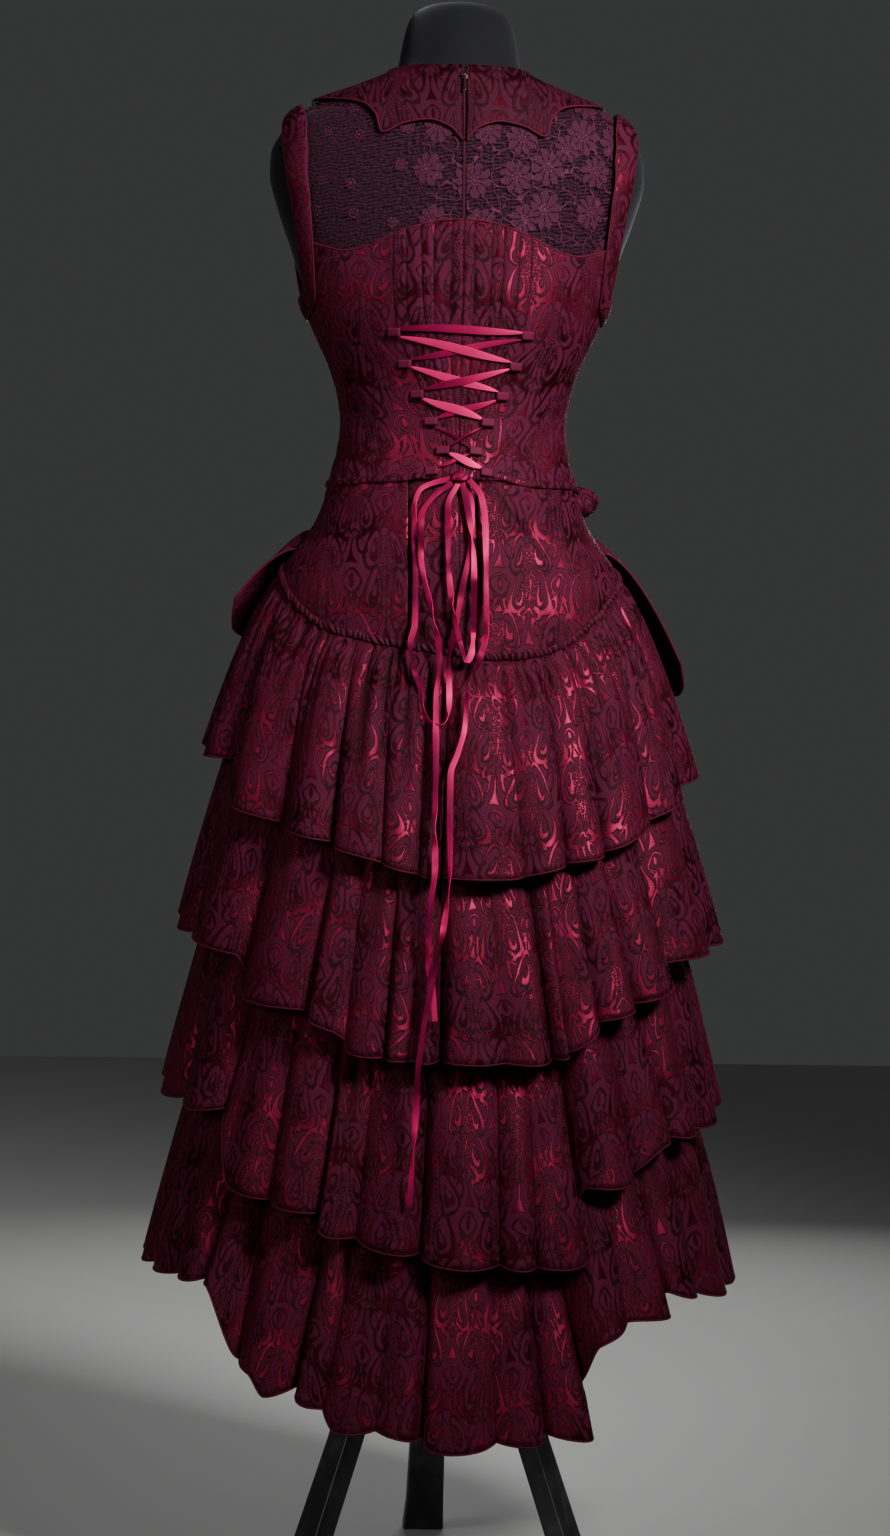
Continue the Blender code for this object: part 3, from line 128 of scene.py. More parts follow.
# Distance from the middle, height
BODICE_TOP_BACK = (
    (0.0, 1.329), (0.02, 1.328), (0.045, 1.322), (0.069, 1.3135), (0.087, 1.3035), (0.104, 1.3),
    (0.125, 1.305), (0.152, 1.315),
)
BODICE_TOP_FRONT = (
    (0.0, 1.315), (0.03, 1.33), (0.07, 1.336), (0.11, 1.325), (0.152, 1.315),
)
# Height, half width
CENTRE_PANEL = (
    (1.335, 0.068), (1.27, 0.066), (1.22, 0.059), (1.19, 0.046), (1.16, 0.034), (1.133, 0.022),
    (1.105, 0.015), (1.07, 0.0165),
)
# Bearing and height at the neck, then at the scallops
COLLAR = (
    (1.5, 1.485, 0.55, 1.408), (6.6, 1.485, 4.4, 1.4205), (13.4, 1.485, 11.3, 1.427),
    (20.4, 1.4852, 18.7, 1.4235), (26.7, 1.4855, 24.8, 1.4145), (33.4, 1.4858, 29.2, 1.432),
    (41.0, 1.4862, 37.0, 1.444), (54.0, 1.4866, 52.0, 1.45), (66.0, 1.4868, 66.0, 1.452),
    (78.0, 1.487, 79.0, 1.4532), (90.0, 1.487, 90.0, 1.4535), (102.0, 1.4866, 101.0, 1.4528),
    (114.0, 1.486, 114.0, 1.451), (126.0, 1.485, 128.0, 1.448), (136.0, 1.483, 141.0, 1.44),
    (143.0, 1.48, 149.0, 1.426), (150.0, 1.477, 155.0, 1.405), (157.0, 1.474, 161.0, 1.412),
    (165.0, 1.4715, 168.5, 1.414), (173.0, 1.47, 175.0, 1.406), (179.0, 1.469, 179.6, 1.39),
)
# Bearing and height on the panels, then at the arm
ARMHOLE_BAND = (
    (90.0, 1.448, 90.0, 1.44), (76.0, 1.445, 82.0, 1.4375), (64.0, 1.437, 76.0, 1.431),
    (55.7, 1.423, 69.6, 1.42), (51.5, 1.395, 63.6, 1.4), (52.1, 1.368, 61.8, 1.375),
    (54.0, 1.34, 63.1, 1.345), (57.4, 1.31, 66.4, 1.315), (62.0, 1.278, 70.5, 1.288),
    (67.3, 1.256, 74.0, 1.27), (79.0, 1.2455, 82.0, 1.2635), (90.0, 1.243, 90.0, 1.262),
)
# Bearing, height
HIP_SEAM = (
    (-180, 1.015), (-120, 1.008), (-90, 0.996), (-75, 0.983), (-61, 0.96), (-48, 0.94), (-34, 0.927),
    (-20, 0.919), (-2, 0.911), (8, 0.907), (17, 0.908), (28, 0.914), (37, 0.925), (49, 0.947),
    (68, 0.979), (90, 0.999), (120, 1.008), (180, 1.015),
)
TIER_1_HEM = (
    (-180, 0.91), (-140, 0.885), (-110, 0.838), (-87, 0.808), (-71, 0.799), (-66, 0.765), (-52, 0.745),
    (-29, 0.719), (-12, 0.696), (-4, 0.691), (10, 0.691), (23, 0.704), (35, 0.717), (47, 0.74),
    (68, 0.778), (79, 0.791), (100, 0.822), (140, 0.885), (180, 0.91),
)
TIER_2_HEM = (
    (-180, 0.75), (-140, 0.725), (-110, 0.67), (-86, 0.636), (-57, 0.611), (-53, 0.577), (-33, 0.56),
    (-27, 0.546), (-23, 0.527), (-13, 0.521), (-4, 0.519), (13, 0.5185), (22, 0.53), (28, 0.552),
    (35, 0.565), (43, 0.578), (54, 0.611), (86, 0.631), (110, 0.668), (140, 0.725), (180, 0.75),
)
TIER_3_HEM = (
    (-180, 0.58), (-140, 0.555), (-110, 0.505), (-76, 0.467), (-51, 0.46), (-47, 0.395), (-26, 0.371),
    (-22, 0.356), (-12, 0.344), (-6, 0.339), (3, 0.3295), (19, 0.329), (23, 0.337), (27, 0.3985),
    (37, 0.4065), (43, 0.4405), (59, 0.446), (74, 0.457), (110, 0.505), (140, 0.555), (180, 0.58),
)
TIER_4_HEM = (
    (-180, 0.43), (-140, 0.405), (-110, 0.345), (-94, 0.3105), (-63, 0.303), (-47, 0.302), (-43, 0.2295),
    (-38, 0.2245), (-35, 0.206), (-29, 0.2095), (-24, 0.197), (-20, 0.179), (-10, 0.177), (-5, 0.168),
    (1, 0.163), (12, 0.169), (22, 0.172), (26, 0.256), (29, 0.266), (37, 0.277), (42, 0.279),
    (45, 0.2965), (55, 0.289), (75, 0.287), (110, 0.345), (140, 0.405), (180, 0.43),
)
# Bearing, top, bottom and the bottom's distance from the axis
PEPLUM = (
    (94, 1.015, 0.905, 0.2355), (97, 1.025, 0.883, 0.241), (103, 1.033, 0.874, 0.242),
    (115, 1.035, 0.876, 0.239), (130, 1.035, 0.89, 0.229), (145, 1.035, 0.904, 0.217),
    (160, 1.035, 0.915, 0.208), (180, 1.035, 0.922, 0.204), (200, 1.035, 0.924, 0.206),
    (215, 1.035, 0.925, 0.21), (230, 1.035, 0.925, 0.215), (245, 1.035, 0.926, 0.218),
    (257, 1.033, 0.932, 0.219), (263, 1.025, 0.944, 0.217), (267, 1.012, 0.962, 0.214),
)
# Distance from the middle, height and further height above the panel
LOOPS = (
    (0.063, 1.22, 0.0004), (0.052, 1.1905, 0.0007), (0.040, 1.1605, 0.0009), (0.0265, 1.133, 0.0020),
    (0.0155, 1.1045, 0.0013), (0.026, 1.083, 0.0),
)
# Height, half width, thickness
KNOT = (
    (1.0845, 0.005, 0.0055), (1.0815, 0.0078, 0.0075), (1.0775, 0.0078, 0.008), (1.075, 0.007, 0.0075),
)
# Height, distance behind the axis
RIBBON_DEPTH = (
    (1.09, 0.096), (1.06, 0.103), (1.04, 0.109), (1.0, 0.12), (0.95, 0.13), (0.915, 0.137), (0.89, 0.146),
    (0.85, 0.1625), (0.8, 0.1835), (0.75, 0.2015), (0.7, 0.2165), (0.68, 0.219), (0.65, 0.221),
    (0.6, 0.23), (0.55, 0.241), (0.515, 0.2465), (0.45, 0.25), (0.38, 0.258),
)
# Distance from the middle, height
BOW_LONG = (
    (-0.0085, 1.077), (-0.024, 1.073), (-0.0375, 1.066), (-0.043, 1.05), (-0.043, 1.018), (-0.042, 0.975),
    (-0.0425, 0.934), (-0.0465, 0.915), (-0.044, 0.892), (-0.037, 0.87), (-0.035, 0.852), (-0.028, 0.839),
    (-0.018, 0.837), (-0.011, 0.847), (-0.01, 0.87), (-0.011, 0.895), (-0.005, 0.925), (0.003, 0.97),
    (0.011, 1.015), (0.012, 1.048), (0.007, 1.0735),
)
BOW_SHORT = (
    (-0.0008, 1.0732), (-0.011, 1.05), (-0.011, 1.0), (-0.007, 0.955), (0.0, 0.92), (0.0075, 0.899),
    (0.012, 0.908), (0.014, 0.945), (0.014, 0.99), (0.01, 1.035), (0.003, 1.0738),
)
TAIL_SHORT = (
    (-0.007, 1.0727), (-0.024, 1.06), (-0.037, 1.038), (-0.037, 1.0), (-0.033, 0.975), (-0.025, 0.942),
    (-0.019, 0.898), (-0.023, 0.86), (-0.0235, 0.81), (-0.0245, 0.75), (-0.025, 0.7), (-0.029, 0.665),
    (-0.0305, 0.62), (-0.026, 0.585), (-0.024, 0.56),
)
TAIL_LONG = (
    (0.0092, 1.0762), (0.021, 1.06), (0.025, 1.025), (0.0255, 0.97), (0.026, 0.93), (0.019, 0.9),
    (0.007, 0.875), (0.004, 0.835), (-0.003, 0.81), (-0.01, 0.79), (-0.011, 0.74), (-0.011, 0.7),
    (-0.016, 0.65), (-0.026, 0.6), (-0.035, 0.55), (-0.0395, 0.51), (-0.042, 0.45), (-0.046, 0.39),
)


@dataclass(frozen=True)
class Tier:
    """A ruffle: its CAD node, its hem, the plan that the hem fills, its sideways shift, flare and seat."""

    node: str
    hem: tuple
    side: float
    back: float
    front: float
    shift: float
    swell: float
    seat: float


TIERS = (
    Tier("ruffle_tier_1", TIER_1_HEM, 0.2490, 0.215, 0.190, 0.003, 0.72, 0.0010),
    Tier("ruffle_tier_2", TIER_2_HEM, 0.2735, 0.242, 0.215, 0.006, 0.75, 0.0004),
    Tier("ruffle_tier_3", TIER_3_HEM, 0.2810, 0.262, 0.240, 0.0, 0.68, 0.0004),
    Tier("ruffle_tier_4", TIER_4_HEM, 0.2970, 0.279, 0.279, 0.0, 0.65, -0.0002),
)
# Fold valleys of each tier: bearing and depth at the hem, then how far the near fold leans over it
BACK_FOLDS = (
    ((-70, 24, 9), (-46, 18, 4), (-31, 20, 5), (-19, 8, 0), (-10, 10, 2), (-4, 24, 7), (14, 8, -2),
     (25, 12, 2), (35, 12, -4), (51, 10, 2), (68, 17, -6)),
    ((-77, 12, 3), (-53, 24, 9), (-33, 17, 5), (-25, 10, -3), (-16, 13, 3), (-10, 8, -2), (-4, 24, 6),
     (8, 8, 0), (17, 15, 2), (21, 8, -4), (29, 12, 2), (39, 15, -2), (50, 20, -7), (72, 12, 0)),
    ((-74, 12, 2), (-53, 24, 9), (-38, 10, 2), (-26, 20, 6), (-19, 14, 4), (-6, 22, 6), (8, 14, -2),
     (15, 9, 2), (25, 24, -8), (38, 12, 2), (47, 22, -8), (60, 10, -2), (76, 12, 2)),
    ((-76, 12, 2), (-62, 8, -2), (-51, 24, 9), (-43, 12, 3), (-29, 20, 5), (-23, 10, -2), (-14, 8, -2),
     (-5, 24, 6), (7, 12, 2), (16, 16, -3), (24, 20, -8), (33, 8, 2), (43, 24, -8), (56, 12, 2),
     (73, 12, -2)),
)
FRONT_FOLDS = (
    (92, 12, 2), (107, 13, -2), (123, 15, 3), (138, 12, -2), (152, 14, 2), (166, 13, -3), (181, 15, 2),
    (196, 12, -2), (211, 14, 3), (226, 13, -2), (241, 15, 2), (256, 12, -2), (270, 13, 2),
)
VALLEY_WIDTH = 3.4
FOLD_DEPTH = 1.45
LOBE_ROUND = 0.36
LINING_INSET = 0.022
NEXT_TIER_ROOM = JACQUARD + 0.0022


# The least share of its width times its length that a sheet's area may be
LEAST_AREA_SHARE = 0.301


# Curves and surfaces


class Curve:
    """A smooth curve through a table of pairs, which never overshoots a row."""

    def __init__(self, rows: Sequence[Sequence[float]], column: int = 1) -> None:
        """Sets the curve up.

        Args:
            rows: The table, the place in each row's first number.
            column: Which number of a row is the value.
        """
        pairs = sorted((float(row[0]), float(row[column])) for row in rows)
        self.at = np.array([pair[0] for pair in pairs])
        self.value = np.array([pair[1] for pair in pairs])
        slope = np.diff(self.value) / np.diff(self.at)
        before, after = slope[:-1], slope[1:]
        total = np.where(before + after == 0, 1.0, before + after)
        inner = np.where(before * after > 0, 2 * before * after / total, 0.0)
        self.tangent = np.concatenate([slope[:1], inner, slope[-1:]])

    def __call__(self, at: Number) -> Array:
        """The value at one place or many.

        Args:
            at: The places, held to the curve's own range.

        Returns:
            The values, in the same shape.
        """
        at = np.clip(np.asarray(at, float), self.at[0], self.at[-1])
        low = np.clip(np.searchsorted(self.at, at, side="right") - 1, 0, len(self.at) - 2)
        span = self.at[low + 1] - self.at[low]
        t = (at - self.at[low]) / span
        rise = self.value[low + 1] - self.value[low]
        start = self.tangent[low] * span
        end = self.tangent[low + 1] * span
        bent = (3 * rise - 2 * start - end) * t**2
        return self.value[low] + start * t + bent + (start + end - 2 * rise) * t**3


def blend(a: Number, b: Number, t: Number) -> Number:
    """The value a share t of the way from a to b."""
    return a + (b - a) * t


def shares(count: int) -> Array:
    """Even shares from 0 to 1."""
    return np.linspace(0.0, 1.0, count + 1)


def around(count: int) -> Array:
    """Even bearings once round, the first repeated at the end."""
    return np.linspace(0.0, 360.0, count + 1)


def periodic(bearing: Number) -> Array:
    """Bearings between -180 and 180."""
    return (np.asarray(bearing, float) + 180) % 360 - 180


def bell(away: Number, width: float = 1.0) -> Array:
    """A smooth bump: 1 at the place itself, and next to nothing a few widths away."""
    return np.exp(-((away / width) ** 2))


def least_and_more(pair: Sequence, share: Number) -> Number:
    """The first of a pair, and a share of the second on top of it."""
    return pair[0] + pair[1] * share


def unit(v: Array) -> Array:
    """Vectors of length 1."""
    return v / np.maximum(np.linalg.norm(v, axis=-1, keepdims=True), 1e-12)


def uneven(i: Number, salt: float = 0.0) -> Number:
    """A fixed uneven share from 0 to 1 for the i-th of a row of like things."""
    return (np.sin(np.asarray(i, float) * 12.9898 + salt * 78.233) * 43758.5453) % 1.0


def arc(points: Array) -> Array:
    """Length along each row of points, from its first."""
    leap = np.linalg.norm(np.diff(points, axis=-2), axis=-1)
    start = np.zeros(leap.shape[:-1] + (1,))
    return np.concatenate([start, np.cumsum(leap, axis=-1)], axis=-1)


def mirror_rows(points: Array) -> Array:
    """The same rows on the other side of the gown, their columns still by rising bearing."""
    return points[:, ::-1] * np.array([-1.0, 1.0, 1.0])


def outward(rows: Array) -> Array:
    """The outward direction at each point of a sheet."""
    return unit(np.cross(np.gradient(rows, axis=1), -np.gradient(rows, axis=0)))


def both_sides(right: Array) -> Iterator[tuple]:
    """The right and the left of a pair: its tag, its rows and the column that is nearest to the middle."""
    yield "right", right, 0
    yield "left", mirror_rows(right), -1


def ring(bearing: Number, z: Number, side: Number, back: Number, front: Number) -> Array:
    """Points of plan sections at bearings."""
    angle = np.radians(bearing)
    depth = np.where(np.cos(angle) > 0, back, front)
    parts = np.broadcast_arrays(side * np.sin(angle), -depth * np.cos(angle), z)
    return np.stack(parts, axis=-1).astype(float)


class BodySurface:
    """The surface that the gown's bodice and hip yoke follow."""

    def __init__(self) -> None:
        """Reads the plan sections."""
        self.side = Curve(BODY, 1)
        self.back = Curve(BODY, 2)
        self.front = Curve(BODY, 3)

    def section(self, z: Number) -> tuple:
        """Half width, back depth and front depth at heights."""
        return self.side(z), self.back(z), self.front(z)

    def point(self, bearing: Number, z: Number, lift: Number = 0.0) -> Array:
        """Points of the surface, moved out along its normal.

        Args:
            bearing: Bearings in degrees.
            z: Heights.
            lift: Distances above the surface.

        Returns:
            The points, x y z in the last axis.
        """
        bearing, z, lift = np.broadcast_arrays(*(np.asarray(v, float) for v in (bearing, z, lift)))
        middle = ring(bearing, z, *self.section(z))
        across = ring(bearing + 0.5, z, *self.section(z)) - ring(bearing - 0.5, z, *self.section(z))
        above, below = z + 0.002, z - 0.002
        up = ring(bearing, above, *self.section(above)) - ring(bearing, below, *self.section(below))
        return middle + unit(np.cross(across, up)) * lift[..., None]

    def normal(self, bearing: Number, z: Number) -> Array:
        """Outward directions of the surface."""
        return unit(self.point(bearing, z, 0.01) - self.point(bearing, z))

    def bearing_at(self, x: Number, z: Number, front: bool = False) -> Array:
        """Bearings of the surface's points at distances from the middle."""
        share = np.clip(np.asarray(x, float) / self.side(z), -1.0, 1.0)
        bearing = np.degrees(np.arcsin(share))
        return 180 - bearing if front else bearing


SURFACE = BodySurface()


# Meshes


def laid_grid(rows: Array, uv: Array, mark: str, values: Number) -> bmesh.types.BMesh:
    """A grid moved onto rows of points, with a UV and with a number at each vertex for the materials.

    Args:
        rows: Rows of points.
        uv: The same rows in metres of flat cloth.
        mark: The name that the materials read the number by.
        values: The number, or one for each row and column.

    Returns:
        The bmesh, its faces smooth.
    """
    down, across = rows.shape[0] - 1, rows.shape[1] - 1
    values = np.broadcast_to(values, rows.shape[:2])
    shape = bmesh.new()
    number = shape.verts.layers.float.new(mark)
    bmesh.ops.create_grid(shape, x_segments=across, y_segments=down, size=0.5)
    layer = shape.loops.layers.uv.new("cloth")
    place = {v: (round((0.5 - v.co.y) * down), round((v.co.x + 0.5) * across)) for v in shape.verts}
    for face in shape.faces:
        face.smooth = True
        for loop in face.loops:
            loop[layer].uv = uv[place[loop.vert]]
    for vertex, at in place.items():
        vertex.co = rows[at]
        vertex[number] = float(values[at])
    return shape


def mesh_of(name: str, shape: bmesh.types.BMesh) -> bpy.types.Mesh:
    """The bmesh as a mesh, which ends the bmesh."""
    mesh = bpy.data.meshes.new(name)
    shape.to_mesh(mesh)
    shape.free()
    return mesh


def grid_mesh(name: str, points: Array, uv: Array, closed: bool = False,
              crease: Number = 0.0) -> bpy.types.Mesh:
    """A sheet through rows of points.

    Args:
        name: The mesh's name.
        points: Rows from top to bottom, columns by rising bearing.
        uv: The same rows in metres of flat cloth.
        closed: Whether the last column meets the first.
        crease: Painted shade at each point, deepest in a crease, from 0 to 1.

    Returns:
        The mesh, its faces outwards.
    """
    shape = laid_grid(points, uv, "crease", crease)
    if closed:
        bmesh.ops.remove_doubles(shape, verts=shape.verts, dist=SHEET_MERGE)
    return mesh_of(name, shape)


def tube_mesh(name: str, rings: Array, closed: bool = False, mark: str = "crease",
              values: Number = 0.0) -> bpy.types.Mesh:
    """A tube through rings of points, with a UV of metres round and along it; an open tube's ends are filled.

    Args:
        name: The mesh's name.
        rings: Rings of points, each ring's points in order round it.
        closed: Whether the last ring meets the first.
        mark: The name that the materials read a number by.
        values: The number, or one for each ring and point.

    Returns:
        The mesh, its faces outwards.
    """
    rows = np.concatenate([rings, rings[:, :1]], axis=1)
    values = np.broadcast_to(values, rings.shape[:2])
    values = np.concatenate([values, values[:, :1]], axis=1)
    if closed:
        rows = np.concatenate([rows, rows[:1]])
        values = np.concatenate([values, values[:1]])
    along = arc(np.swapaxes(rows, 0, 1)).mean(axis=0)
    girth = arc(rows).mean(axis=0)
    shape = laid_grid(rows, np.stack(np.meshgrid(girth, along), axis=-1), mark, values)
    bmesh.ops.remove_doubles(shape, verts=shape.verts, dist=TUBE_MERGE)
    if not closed:
        bmesh.ops.holes_fill(shape, edges=[e for e in shape.edges if e.is_boundary], sides=0)
    bmesh.ops.recalc_face_normals(shape, faces=shape.faces)
    return mesh_of(name, shape)


def rounded_copy(name: str, node: str, merge: float, edge: float) -> bpy.types.Mesh:
    """A copy of a solid's mesh, its triangles joined into faces and its sharp edges rounded.

    Args:
        name: The mesh's name.
        node: The CAD node.
        merge: Points nearer than this become one.
        edge: How far the rounding reaches from an edge, or 0 for none.

    Returns:
        The mesh.
    """
    shape = bmesh.new()
    shape.from_mesh(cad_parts[node].data)
    bmesh.ops.remove_doubles(shape, verts=shape.verts, dist=merge)
    bmesh.ops.dissolve_limit(shape, angle_limit=FLAT_ANGLE, verts=shape.verts, edges=shape.edges)
    sharp = [e for e in shape.edges if len(e.link_faces) == 2 and e.calc_face_angle(0.0) > SHARP_ANGLE]
    if edge:
        bmesh.ops.bevel(shape, geom=sharp, offset=edge, affect="EDGES", segments=3, profile=0.5, material=-1)
    for face in shape.faces:
        face.smooth = True
    return mesh_of(name, shape)


def oval(sides: int, power: float = 1.0) -> Array:
    """Places round an oval of half width and half thickness 1; below 1 the power squares it."""
    turn = np.linspace(0, math.tau, sides, endpoint=False) + math.pi / sides
    both = np.array([np.cos(turn), np.sin(turn)])
    return np.sign(both) * np.abs(both) ** power


# A ribbon's section: flat faces with crisp edges, a little cupped
FLAT = np.array([(x, y + 0.55 * (1 - x * x)) for x, y in (
    (1.0, 0.6), (0.97, 1.0), (0.5, 1.0), (0.0, 1.0), (-0.5, 1.0), (-0.97, 1.0), (-1.0, 0.6), (-1.0, -0.6),
    (-0.97, -1.0), (-0.5, -1.0), (0.0, -1.0), (0.5, -1.0), (0.97, -1.0), (1.0, -0.6))]).T


def sweep(path: Array, out: Array, half_wide: Number, half_thick: Number, section: Array) -> Array:
    """Rings of a section along a path.

    Args:
        path: The points down the middle.
        out: The outward direction at each point.
        half_wide: Half the section's width, across the outward direction.
        half_thick: Half its thickness, along the outward direction.
        section: The places round it, across and along the outward direction.

    Returns:
        The rings of points.
    """
    along = unit(np.gradient(path, axis=0))
    aside = unit(np.cross(along, out))
    out = unit(np.cross(aside, along))
    c, s = section
    wide = np.broadcast_to(np.asarray(half_wide, float), path.shape[:1])
    thick = np.broadcast_to(np.asarray(half_thick, float), path.shape[:1])
    return (path[:, None] + aside[:, None] * (wide[:, None] * c)[..., None]
            + out[:, None] * (thick[:, None] * s)[..., None])


def wall(piece: bpy.types.Object, thickness: float, offset: float = 1.0) -> None:
    """Gives a cloth piece its thickness."""
    skin = piece.modifiers.new("wall", "SOLIDIFY")
    skin.thickness = thickness
    skin.offset = offset


class Slot(Enum):
    """The record's material slots."""

    JACQUARD = "jacquard"
    LACE = "lace"
    RIBBON = "ribbon"
    VELVET = "velvet"
    STAND = "stand"
    ZIP_TAPE = "zip_tape"
    ZIP_METAL = "zip_metal"


class Held(Enum):
    """How a sheet of cloth is held."""

    HUNG = "hung"
    GATHERED = "gathered"
    STRETCHED = "stretched"
    FOLDED = "folded"
    LAID = "laid"


def dress(mesh: bpy.types.Mesh, finish: bpy.types.Material, slot: Slot, node: str = "",
          body: str = GOWN) -> bpy.types.Object:
    """Makes a piece of a mesh: finished, riding on its body, logged with its slot, and hiding its CAD node.

    Args:
        mesh: The piece's mesh, whose name it takes.
        finish: Its material.
        slot: The record's slot of that finish.
        node: The CAD node that it stands for, if any.
        body: The CAD body that it rides on.

    Returns:
        The piece.
    """
    mesh.materials.append(finish)
    piece = bpy.data.objects.new(mesh.name, mesh)
    bpy.context.scene.collection.objects.link(piece)
    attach(piece, body)
    if node:
        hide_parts(node)
    LOG.info("piece %s in %s on %s", piece.name, slot.value, body)
    return piece


def cloth(name: str, points: Array, uv: Array, finish: bpy.types.Material, node: str,
          closed: bool = False,
          slot: Slot = Slot.JACQUARD, thickness: float = JACQUARD, fullness: float = 1.0,
          crease: Number = 0.0) -> bpy.types.Object:
    """A sheet of cloth as its own piece, logged with the cut that its rows measure.

    Args:
        name: The piece's name.
        points: Rows of points on its inner face.
        uv: The same rows in metres of flat cloth.
        finish: Its material.
        node: The CAD node that it stands for.
        closed: Whether it is a tube.
        slot: The record's slot of its finish.
        thickness: The cloth's wall.
        fullness: Width of the cut over the width that the folds show.
        crease: Painted shade at each point, deepest in a crease, from 0 to 1.

    Returns:
        The piece.
    """
    piece = dress(grid_mesh(name, points, uv, closed, crease), finish, slot, node)
    wall(piece, thickness)
    width = float(arc(points)[:, -1].max()) * fullness
    length = float(arc(np.swapaxes(points, 0, 1))[:, -1].max())
    area = sum(face.area for face in piece.data.polygons) * fullness
    area = min(max(area, LEAST_AREA_SHARE * width * length), width * length)
    LOG.info("sheet %s: cut %.3f by %.3f m, area %.4f", name, width, length, area)
    return piece


def hung_arcs(rows: Array, middle: int = 0) -> tuple:
    """Metres across a hanging sheet, measured along its hem from a column, and metres down each column."""
    hem = arc(rows[-1][None])
    across = np.repeat(hem - hem[:, [middle]], len(rows), axis=0)
    return across, np.swapaxes(arc(np.swapaxes(rows, 0, 1)), 0, 1)


def plain_uv(points: Array, middle: int = 0) -> Array:
    """A UV for a panel: metres across from its middle column, and metres of height.

    Args:
        points: Rows of points.
        middle: The column at u = 0.

    Returns:
        The UV of each point.
    """
    across = arc(points)
    return np.stack([across - across[:, [middle]], points[..., 2]], axis=-1)


# Shader maths


Term = Union["Value", float]


class Value:
    """A number socket of a material, whose operators add Math nodes."""

    def __init__(self, tree: "Shader", socket: bpy.types.NodeSocket) -> None:
        """Wraps a socket of a tree."""
        self.tree = tree
        self.socket = socket

    def math(self, operation: str, *others: Term, clamp: bool = False) -> "Value":
        """The result of a Math node on this value and others."""
        inputs = dict(enumerate((self, *others)))
        node = self.tree.node("ShaderNodeMath", {"operation": operation, "use_clamp": clamp}, inputs)
        return Value(self.tree, node.outputs[0])

    def _after(self, operation: str, first: float) -> "Value":
        """The result of a Math node on a number and then this value."""
        node = self.tree.node("ShaderNodeMath", {"operation": operation}, {0: first, 1: self})
        return Value(self.tree, node.outputs[0])

    def __add__(self, other: Term) -> "Value":
        """Sum."""
        return self.math("ADD", other)

    __radd__ = __add__

    def __sub__(self, other: Term) -> "Value":
        """Difference."""
        return self.math("SUBTRACT", other)

    def __rsub__(self, other: float) -> "Value":
        """Difference from a number."""
        return self._after("SUBTRACT", other)

    def __mul__(self, other: Term) -> "Value":
        """Product."""
        return self.math("MULTIPLY", other)

    __rmul__ = __mul__

    def __truediv__(self, other: Term) -> "Value":
        """Quotient."""
        return self.math("DIVIDE", other)

    def __pow__(self, other: Term) -> "Value":
        """Power."""
        return self.math("POWER", other)

    def __abs__(self) -> "Value":
        """Distance from 0."""
        return self.math("ABSOLUTE")

    def high(self, *others: Term) -> "Value":
        """The greatest of this value and others."""
        found = self
        for other in others:
            found = found.math("MAXIMUM", other)
        return found

    def low(self, *others: Term) -> "Value":
        """The least of this value and others."""
        found = self
        for other in others:
            found = found.math("MINIMUM", other)
        return found

    def clip(self) -> "Value":
        """This value kept between 0 and 1."""
        return self.math("ADD", 0.0, clamp=True)

    def edge(self, soft: float) -> "Value":
        """A mask that goes from 0 to 1 across 0, over a soft width."""
        return self.math("MULTIPLY_ADD", 1.0 / soft, 0.5, clamp=True)

    def ramp(self, start: float, end: float) -> "Value":
        """A mask that goes from 0 at start to 1 at end."""
        return ((self - start) * (1.0 / (end - start))).clip()


